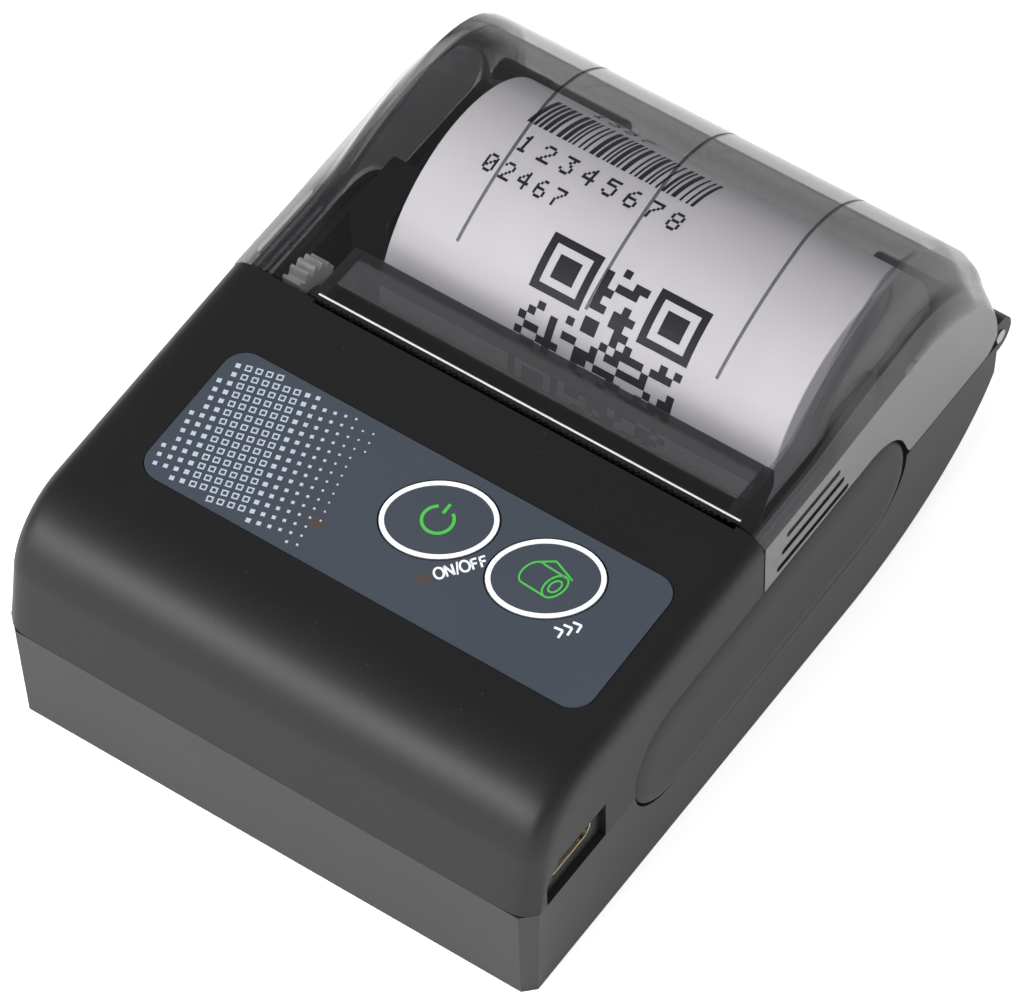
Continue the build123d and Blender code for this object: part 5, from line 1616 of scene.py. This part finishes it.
@dataclass
class ControlPanel:
    """The printed overlay with its two keys, lights and marks.

    The field's corner holds the X of its two left corners' centres, the distance midway between
    them, how far each lies from it, and their radius. The squares' sizes are those in the open band
    and next to it, and the most that they drop.
    """

    keys: tuple[tuple[str, float, float], ...] = (("power", 4.9, 30.6), ("feed", 20.3, 30.6))
    crown: float = 0.1
    dome: float = 0.1
    reach: float = 7.3
    cap: float = 1.0
    stem: float = 2.0
    stem_end: float = 9.0
    ring_size: Pair = (13.75, 10.55)
    ring_width: float = 0.62
    label_scale: float = 0.74
    label_turn: float = 51.0
    power_label: Pair = (10.8, 26.3)
    feed_label: Pair = (26.6, 26.2)
    grid_pitch: float = 1.37
    grid_turn: float = 14.0
    grid_middle: Pair = (-19.5, 28.2)
    grid_reach: int = 24
    mark_lift: float = 0.05
    symbol_line: float = 0.42
    symbol_radius: float = 1.95
    symbol_arc: Pair = (122.0, 418.0)
    symbol_shift: float = 0.1
    roll_line: float = 0.24
    letter_line: float = 0.36
    letter_size: Pair = (1.56, 2.1)
    chevron_line: float = 0.4
    chevron_reach: float = 1.1
    field_sides: Pair = (-29.3, -7.4)
    field_ends: Pair = (18.2, 37.4)
    field_corner: Four = (-27.0, 27.8, 7.6, 2.4)
    open_band: Pair = (4.0, 4.2)
    fade_length: float = 9.0
    square_sizes: Triple = (0.86, 0.66, 0.42)
    rim_share: float = 0.42
    field_middle: float = 28.0
    edge_lean: float = 0.12
    band_lean: float = 0.25
    band_shift: float = 2.0
    slow_fade: float = 0.5
    film_edge: float = 0.08

    def key(self, name: str, x: float, distance: float) -> None:
        """Make one key: an oval cap with a rounded rim and a faint dome, on a round stem.

        Each ring of the cap is the key's oval scaled down, and its height falls with the square of
        its share of the way to the rim.

        Args:
            name: The key's name.
            x: X of the key's centre.
            distance: The centre's distance behind the front face.
        """
        share = np.array([0.001, 0.2, 0.4, 0.6, 0.8, 0.92, 0.975, 0.993, 1.0, 1.0])
        rise = np.concatenate([self.dome * (1 - share[:6] ** 2), [0.0, -0.03, -0.12, -self.cap - self.crown]])
        outer = key_oval(0.0)
        count = len(outer)
        rings = share[:, None, None] * outer
        stem = np.stack([circle((0, 0), self.stem, count)] * 2 + [circle((0, 0), 0.01, count)])
        outline = np.concatenate([rings, stem])
        height = np.concatenate([rise + self.crown, [-self.cap, -self.stem_end, -self.stem_end]])[:, None]
        points = DECK.place(outline[..., 0] + x, outline[..., 1] + distance, height * np.ones(count))
        cap = close_up(mesh_piece(f"{name}_key_cap", points, tube_faces(len(points), count)))
        smooth(cap, 30.0)
        settle(cap, f"{name}_key", "keys", FINISH.key, f"{name}_key")

    def key_place(self, x: float, distance: float) -> Mapping:
        """Return the mapping of marks round a key's centre, which follows its faint dome.

        Args:
            x: X of the key's centre.
            distance: The centre's distance behind the front face.

        Returns:
            The mapping.
        """

        def place(u: Array, v: Array, w: Array) -> Array:
            """Raise each point by the dome's height at its radius."""
            share = np.clip(1 - (u**2 + v**2) / self.reach**2, 0, 1)
            return DECK.place(u + x, v + distance, w + self.crown + self.dome * share)

        return place

    def ring(self, name: str, x: float, distance: float) -> None:
        """Print the white ring near a key's rim.

        Args:
            name: The key's name.
            x: X of the key's centre.
            distance: The centre's distance behind the front face.
        """
        marks = Graphic(self.key_place(x, distance), lift=self.mark_lift)
        marks.stroke(oval(*self.ring_size, 30.0), self.ring_width, closed=True)
        marks.piece(f"{name}_ring", f"{name}_key", "keys", FINISH.white_ink)

    def symbol(self, number: int) -> Graphic:
        """Start the marks of a key's symbol, slightly off the key's centre.

        Args:
            number: The key's place in the list of keys.

        Returns:
            A graphic without marks.
        """
        _, x, distance = self.keys[number]
        place = self.key_place(x - self.symbol_shift, distance - self.symbol_shift)
        return Graphic(place, lift=self.mark_lift)

    def symbols(self) -> None:
        """Print the green on-off symbol and the green outline of a paper roll."""
        turn = np.radians(np.linspace(*self.symbol_arc, 48))
        marks = self.symbol(0)
        marks.stroke(self.symbol_radius * unit(turn), self.symbol_line)
        marks.dash((0.0, 1.1), (0.0, 2.6), self.symbol_line)
        marks.piece("power_symbol", "power_key", "keys", FINISH.green_ink)
        marks = self.symbol(1)
        end, near, far = oval(2.3, 3.7, -14.0, 36), np.array([1.7, -0.3]), np.array([-1.7, -0.1])
        marks.stroke(end + near, self.roll_line, closed=True)
        marks.stroke(end * 0.52 + near, self.roll_line, closed=True)
        marks.stroke(end[8:29] + far, self.roll_line)
        for corner in (end[8], end[28]):
            marks.dash(corner + far, corner + near, self.roll_line, 6)
        fold = end[13] + [0.2, 1.2]
        marks.dash(end[13] + far, fold, self.roll_line, 5)
        marks.dash(fold, end[5] + [1.9, 0.3], self.roll_line, 5)
        marks.piece("roll_symbol", "feed_key", "keys", FINISH.green_ink)

    def labels(self) -> None:
        """Print the on and off words beside the first key and plain chevrons beside the second."""
        bold, tall, wide = self.letter_line, self.letter_size[1] / 2, self.letter_size[0] / 2
        marks = Graphic(self.tilted(self.power_label), lift=self.mark_lift)
        for centre in (-3.35, 0.95):
            marks.stroke(oval(2 * wide, 2 * tall, 0, 32) + [centre, 0], bold, closed=True)
        for left in (-2.2, -1.0):
            marks.dash((left, -tall), (left, tall), bold)
        marks.dash((-2.2, tall), (-1.0, -tall), bold)
        marks.dash((-0.55, -1.2), (-0.05, 1.2), bold * 0.8)
        for left in (2.15, 3.6):
            start, upper = left - bold / 2, tall - bold / 2
            marks.dash((left, -tall), (left, tall), bold)
            marks.dash((start, upper), (start + 1.15, upper), bold)
            marks.dash((start, 0.0), (start + 1.0, 0.0), bold)
        marks.piece("power_label", "casing", "overlay", FINISH.white_ink)
        marks = Graphic(self.tilted(self.feed_label), lift=self.mark_lift)
        for start in (-2.1, -0.55, 1.0):
            tip = (start + self.chevron_reach, 0.0)
            marks.dash((start, -tall), tip, self.chevron_line)
            marks.dash(tip, (start, tall), self.chevron_line)
        marks.piece("feed_label", "casing", "overlay", FINISH.white_ink)

    def tilted(self, centre: Pair) -> Mapping:
        """Return the mapping of a label that stands turned on the overlay.

        Args:
            centre: X of the label's centre and its distance behind the front face.

        Returns:
            The mapping.
        """
        a = math.radians(self.label_turn)

        def place(u: Array, v: Array, w: Array) -> Array:
            """Turn and scale the label's point about its centre.

            Args:
                u: First direction of the marks.
                v: Second direction of the marks.
                w: Height of the marks.

            Returns:
                Points of the part frame.
            """
            u, v = u * self.label_scale, v * self.label_scale
            x = centre[0] + u * math.cos(a) - v * math.sin(a)
            distance = centre[1] + u * math.sin(a) + v * math.cos(a)
            return DECK.place(x, distance, w + self.crown)

        return place

    def on_film(self, u: Array, v: Array, w: Array) -> Array:
        """Place marks flat on the overlay."""
        return DECK.place(u, v, w + self.crown)

    def halftone(self) -> None:
        """Print the field of small squares at the left end of the overlay.

        The squares stand on a turned grid. They are open and largest in a middle band, and they get
        full and smaller away from it.
        """
        reach, (middle_x, middle_distance) = self.grid_reach, self.grid_middle
        a = math.radians(self.grid_turn)
        steps = np.arange(-reach, reach + 1) * self.grid_pitch
        u, v = np.meshgrid(steps, steps, indexing="ij")
        x = (middle_x + u * math.cos(a) - v * math.sin(a)).ravel()
        distance = (middle_distance + u * math.sin(a) + v * math.cos(a)).ravel()
        back = distance - self.field_middle
        (left, right), (front, rear) = self.field_sides, self.field_ends
        inside = (x > left) & (x < right - self.edge_lean * back)
        inside &= (distance > front) & (distance < rear)
        corner_x, corner_distance, apart, radius = self.field_corner
        beside = np.minimum(x - corner_x, 0)
        beyond = np.maximum(np.abs(distance - corner_distance) - apart, 0)
        inside &= np.hypot(beside, beyond) < radius
        band = x - middle_x + self.band_lean * back + self.band_shift
        fade = np.clip((np.abs(band) - self.open_band[0]) / self.fade_length, 0, 1)
        largest, large, drop = self.square_sizes
        faded = np.where(band > 0, fade, fade * self.slow_fade)
        sizes = np.where(fade > 0, large - drop * faded, largest)
        hollow = np.where(np.abs(band) < self.open_band[1], self.rim_share, 0.0)
        centres = np.stack([x, distance], axis=-1)
        marks = Graphic(self.on_film)
        marks.squares(centres[inside], sizes[inside], self.grid_turn, hollow[inside])
        marks.piece("panel_squares", "casing", "overlay", FINISH.pale_ink)

    def build(self, frame: dict) -> None:
        """Make the keys and every printed mark, and finish the overlay and lights.

        Args:
            frame: The loaded frame.
        """
        dress(frame, FINISH.film, "control_overlay")
        soften(frame["nodes"]["control_overlay"], self.film_edge)
        dress(frame, FINISH.lamp, "status_lights")
        for name, x, distance in self.keys:
            self.key(name, x, distance)
            self.ring(name, x, distance)
        self.symbols()
        self.labels()
        self.halftone()


@dataclass
class PaperRoll:
    """The roll of receipt paper, with its printed outer turn."""

    left: float = -26.0
    right: float = 31.5
    axis: Pair = (79.5, 24.5)
    radius: float = 18.5
    bore: float = 7.4
    module: float = 1.05
    seed: int = 7
    bar_widths: tuple[float, ...] = (0.3, 0.3, 0.45, 0.62)
    bar_gaps: tuple[float, ...] = (0.28, 0.28, 0.42, 0.6)
    bar_count: int = 60
    bar_span: Pair = (-19.0, 5.4)
    bar_ends: Pair = (33.2, 40.8)
    bar_steps: int = 9
    numbers: tuple[tuple[str, float, float, float, float], ...] = (
        ("12345678", -17.6, 28.3, 0.34, 3.15),
        ("02467", -19.6, 23.8, 0.3, 2.5),
        ("1357", -15.0, 42.4, 0.3, 2.4),
    )
    block_start: Pair = (-6.6, -1.9)
    block_count: int = 22
    block_corner: int = 7

    def across(self, u: Array, v: Array, w: Array) -> Array:
        """Place a turned shape about the roll's axis, with its height along the axis."""
        return at(w, self.axis[0] + u, self.axis[1] + v)

    def around(self, u: Array, v: Array, w: Array) -> Array:
        """Place marks on the roll: v is the length along its turn from the front, over the top.

        Args:
            u: First direction of the marks.
            v: Second direction of the marks.
            w: Height of the marks.

        Returns:
            Points of the part frame.
        """
        turn = np.pi - v / self.radius
        reach = self.radius + w
        return at(u, self.axis[0] + reach * np.cos(turn), self.axis[1] + reach * np.sin(turn))

    def roll(self) -> None:
        """Make the roll: a ring between its bore and its outer turn, with softened rims."""
        outer, inner, left, right = self.radius, self.bore, self.left, self.right
        half = [[inner, left], [outer - 0.15, left], [outer, left + 0.1], [outer, right - 0.1]]
        profile = np.array([*half, [outer - 0.15, right], [inner, right], [inner, left]])
        piece = turned("wound_paper", profile, self.across, 160)
        smooth(piece, 30.0)
        settle(piece, "paper_roll", "paper", FINISH.paper, "paper_roll")

    def digits(self, text: str, x: float, v: float, cell: float, gap: float) -> Array:
        """Return the boxes of a row of dot digits, each five cells by seven.

        Args:
            text: The digits.
            x: Left end of the row.
            v: Place of the digits' lower edge along the turn.
            cell: Size of one cell.
            gap: Distance from one digit's left edge to the next one's.

        Returns:
            Rows of low and high corners.
        """
        shapes = {
            "0": (14, 17, 19, 21, 25, 17, 14),
            "1": (4, 12, 4, 4, 4, 4, 14),
            "2": (14, 17, 1, 2, 4, 8, 31),
            "3": (31, 2, 4, 2, 1, 17, 14),
            "4": (2, 6, 10, 18, 31, 2, 2),
            "5": (31, 16, 30, 1, 1, 17, 14),
            "6": (6, 8, 16, 30, 17, 17, 14),
            "7": (31, 1, 2, 4, 8, 8, 8),
            "8": (14, 17, 17, 14, 17, 17, 14),
        }
        rows = np.array([shapes[c] for c in text])
        bits = (rows[..., None] >> np.arange(4, -1, -1)) & 1
        index, row, column = np.nonzero(bits)
        x0 = x + index * gap + column * cell
        v0 = v + (6 - row) * cell * 1.25
        return np.stack([x0, v0, x0 + cell * 1.04, v0 + cell * 1.3], axis=-1)

    def printed(self) -> None:
        """Print rows of bars, plain digits and a field of square blocks on the outer turn."""
        draw = np.random.default_rng(self.seed)
        widths = draw.choice(self.bar_widths, self.bar_count)
        gaps = draw.choice(self.bar_gaps, self.bar_count)
        starts = self.bar_span[0] + np.concatenate([[0], np.cumsum(widths + gaps)[:-1]])
        bars = starts < self.bar_span[1]
        rows = np.linspace(*self.bar_ends, self.bar_steps + 1)
        low, high = rows[:-1], rows[1:] + 0.01
        x0 = np.repeat(starts[bars], self.bar_steps)
        x1 = np.repeat((starts + widths)[bars], self.bar_steps)
        v0, v1 = np.tile(low, bars.sum()), np.tile(high, bars.sum())
        marks = Graphic(self.around, lift=0.025)
        marks.boxes(np.stack([x0, v0, x1, v1], axis=-1))
        for row in self.numbers:
            marks.boxes(self.digits(*row))
        self.blocks(marks, draw)
        marks.piece("roll_print", "paper_roll", "paper", FINISH.print_black)

    def blocks(self, marks: Graphic, draw: np.random.Generator) -> None:
        """Add a field of blocks with nested squares in three corners.

        Args:
            marks: The print that they go into.
            draw: Source of the random blocks.
        """
        count, side = self.block_count, self.block_corner
        on = draw.random((count, count)) < 0.5
        square = np.ones((side, side), bool)
        square[1:-1, 1:-1] = False
        square[2:-2, 2:-2] = True
        for i, j in ((0, count - side), (count - side, count - side), (0, 0)):
            on[max(i - 1, 0) : i + side + 1, max(j - 1, 0) : j + side + 1] = False
            on[i : i + side, j : j + side] = square
        i, j = np.nonzero(on)
        size, reach = self.module, self.module * 1.01
        x0, v0 = self.block_start[0] + i * size, self.block_start[1] + j * size
        marks.boxes(np.stack([x0, v0, x0 + reach, v0 + reach], axis=-1))

    def build(self, frame: dict) -> None:
        """Make the roll and its print, and finish the core and the loose end.

        Args:
            frame: The loaded frame.
        """
        self.roll()
        self.printed()
        dress(frame, FINISH.core, "roll_core")
        dress(frame, FINISH.paper, "paper_tail")


@dataclass
class Workings:
    """CAD nodes that stay in view, each with its finish."""

    def build(self, frame: dict) -> None:
        """Finish the casing's lower half, the printing parts and everything inside.

        Args:
            frame: The loaded frame.
        """
        dress(frame, FINISH.base, "bottom_casing", "battery_door")
        dress(frame, FINISH.bucket, "roll_bucket")
        dress(frame, FINISH.frame, "printer_frame")
        dress(frame, FINISH.bush, "platen_bushes")
        dress(frame, FINISH.roller, "platen_roller")
        dress(frame, FINISH.gear, "platen_gear", "idler_gear", "reduction_gear")
        dress(frame, FINISH.steel, "platen_shaft", "gear_pins", "hinge_pin", "head_springs", "feed_motor")
        dress(frame, FINISH.dark_steel, "tear_blade", "case_screws", "inner_screws")
        dress(frame, FINISH.head, "print_head")
        dress(frame, FINISH.brass, "motor_pinion", "battery_contacts")
        dress(frame, FINISH.port, "usb_port")
        dress(frame, FINISH.board, "main_board")
        dress(frame, FINISH.chip, "board_components", "paper_sensor")
        dress(frame, FINISH.switch, "key_switches")
        dress(frame, FINISH.battery, "battery_pack")
        dress(frame, FINISH.cable, "head_flat_cable")


@dataclass
class Studio:
    """Floor, lamps, world and camera."""

    camera_place: Triple = (0.28904, -0.40147, 0.66925)
    right: Triple = (0.8218, 0.5696, -0.0140)
    up: Triple = (-0.4476, 0.6607, 0.6026)
    back: Triple = (0.3525, -0.4890, 0.7979)
    lens: float = 235.7
    shift: Pair = (-0.00683, -0.0085)
    sensor: float = 36.0
    clip: Pair = (0.05, 20.0)
    aim: Triple = (0.0, 0.0, 0.02)
    floor_reach: float = 4000.0
    floor_drop: float = 0.02

    def camera(self) -> None:
        """Place the camera with its own three directions."""
        data = bpy.data.cameras.new("camera")
        data.lens, data.sensor_width = self.lens, self.sensor
        data.shift_x, data.shift_y = self.shift
        data.clip_start, data.clip_end = self.clip
        camera = bpy.data.objects.new("camera", data)
        turn = Matrix([self.right, self.up, self.back]).transposed().to_4x4()
        camera.matrix_world = Matrix.Translation(self.camera_place) @ turn
        bpy.context.scene.collection.objects.link(camera)
        bpy.context.scene.camera = camera

    def lamp(
        self,
        name: str,
        place: Sequence[float],
        size: Pair,
        power: float,
        mirrored: bool = True,
    ) -> None:
        """Hang a soft rectangular lamp that looks at the printer's middle.

        Args:
            name: The lamp's name.
            place: Where it hangs, in metres.
            size: Its width and height in metres.
            power: Its power in watts.
            mirrored: Whether shiny surfaces show it.
        """
        data = bpy.data.lights.new(name, "AREA")
        data.shape = "RECTANGLE"
        data.size, data.size_y = size
        data.energy = power
        lamp = bpy.data.objects.new(name, data)
        lamp.visible_glossy = mirrored
        away = np.array(place) - np.array(self.aim)
        back = away / np.linalg.norm(away)
        side = np.cross([0.0, 0.0, 1.0], back)
        side /= np.linalg.norm(side)
        up = np.cross(back, side)
        turn = Matrix([side.tolist(), up.tolist(), back.tolist()]).transposed().to_4x4()
        lamp.matrix_world = Matrix.Translation(place) @ turn
        bpy.context.scene.collection.objects.link(lamp)

    def floor(self) -> None:
        """Lay a wide pale floor that keeps the printer's shadow."""
        reach = self.floor_reach
        corners = np.array([[-reach, -reach], [reach, -reach], [reach, reach], [-reach, reach]])
        points = at(corners[:, 0], corners[:, 1], -self.floor_drop)
        floor = mesh_piece("floor", points, [[0, 1, 2, 3]])
        material = bpy.data.materials.new("floor_white")
        material.use_nodes = True
        recipe = Recipe(material.node_tree)
        matt = recipe.add("BsdfDiffuse", {"Color": (0.92, 0.92, 0.92)})
        glow = recipe.add("Emission", {"Color": (1.0, 1.0, 1.0), "Strength": 0.45})
        both = recipe.add("AddShader", {0: matt.outputs[0], 1: glow.outputs[0]})
        seen = recipe.add("LightPath").outputs["Is Camera Ray"]
        mixed = recipe.add("MixShader", {0: seen, 1: matt.outputs[0], 2: both.outputs[0]})
        recipe.send(recipe.add("OutputMaterial"), Surface=mixed.outputs[0])
        floor.data.materials.append(material)

    def world(self) -> None:
        """Fill the room with soft light, white to the camera and darker overhead in reflections."""
        world = bpy.data.worlds.new("studio_world")
        bpy.context.scene.world = world
        world.use_nodes = True
        recipe = Recipe(world.node_tree)
        ways = recipe.add("LightPath").outputs
        height = recipe.add("SeparateXYZ", {0: recipe.add("TexCoord").outputs["Generated"]}).outputs["Z"]
        overhead = recipe.ramp(height, 0.1, 0.45)
        mirror = recipe.mix(overhead, (0.72, 0.72, 0.72), (0.22, 0.22, 0.23))
        seen = recipe.math("MAXIMUM", ways["Is Camera Ray"], ways["Is Transmission Ray"])
        shown = recipe.math("MAXIMUM", seen, ways["Is Glossy Ray"])
        soft = recipe.add("Background", {"Color": (1.0, 1.0, 1.0), "Strength": 0.45})
        glossy = recipe.add("Background", {"Color": mirror, "Strength": 1.0})
        white = recipe.add("Background", {"Color": (1.0, 1.0, 1.0), "Strength": 1.0})
        first = recipe.add("MixShader", {0: shown, 1: soft.outputs[0], 2: glossy.outputs[0]})
        last = recipe.add("MixShader", {0: seen, 1: first.outputs[0], 2: white.outputs[0]})
        recipe.send(recipe.add("OutputWorld"), Surface=last.outputs[0])

    def build(self) -> None:
        """Set up the whole studio."""
        bpy.context.scene.view_settings.view_transform = "Standard"
        self.camera()
        self.floor()
        self.world()
        self.lamp("front_lamp", (-0.32, -0.80, 0.44), (1.0, 0.36), 9.0)
        self.lamp("left_lamp", (-0.62, -0.35, 0.85), (0.6, 0.5), 4.2, mirrored=False)
        self.lamp("right_lamp", (0.85, -0.20, 0.55), (0.6, 0.5), 5.5, mirrored=False)


def main() -> None:
    """Build the printer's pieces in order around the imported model."""
    logging.basicConfig(level=logging.INFO, format="%(message)s")
    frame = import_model()
    TopCasing().build()
    Grips().build()
    PaperCover().build()
    ControlPanel().build(frame)
    PaperRoll().build(frame)
    Workings().build(frame)
    Studio().build()


if __name__ == "__main__":
    main()
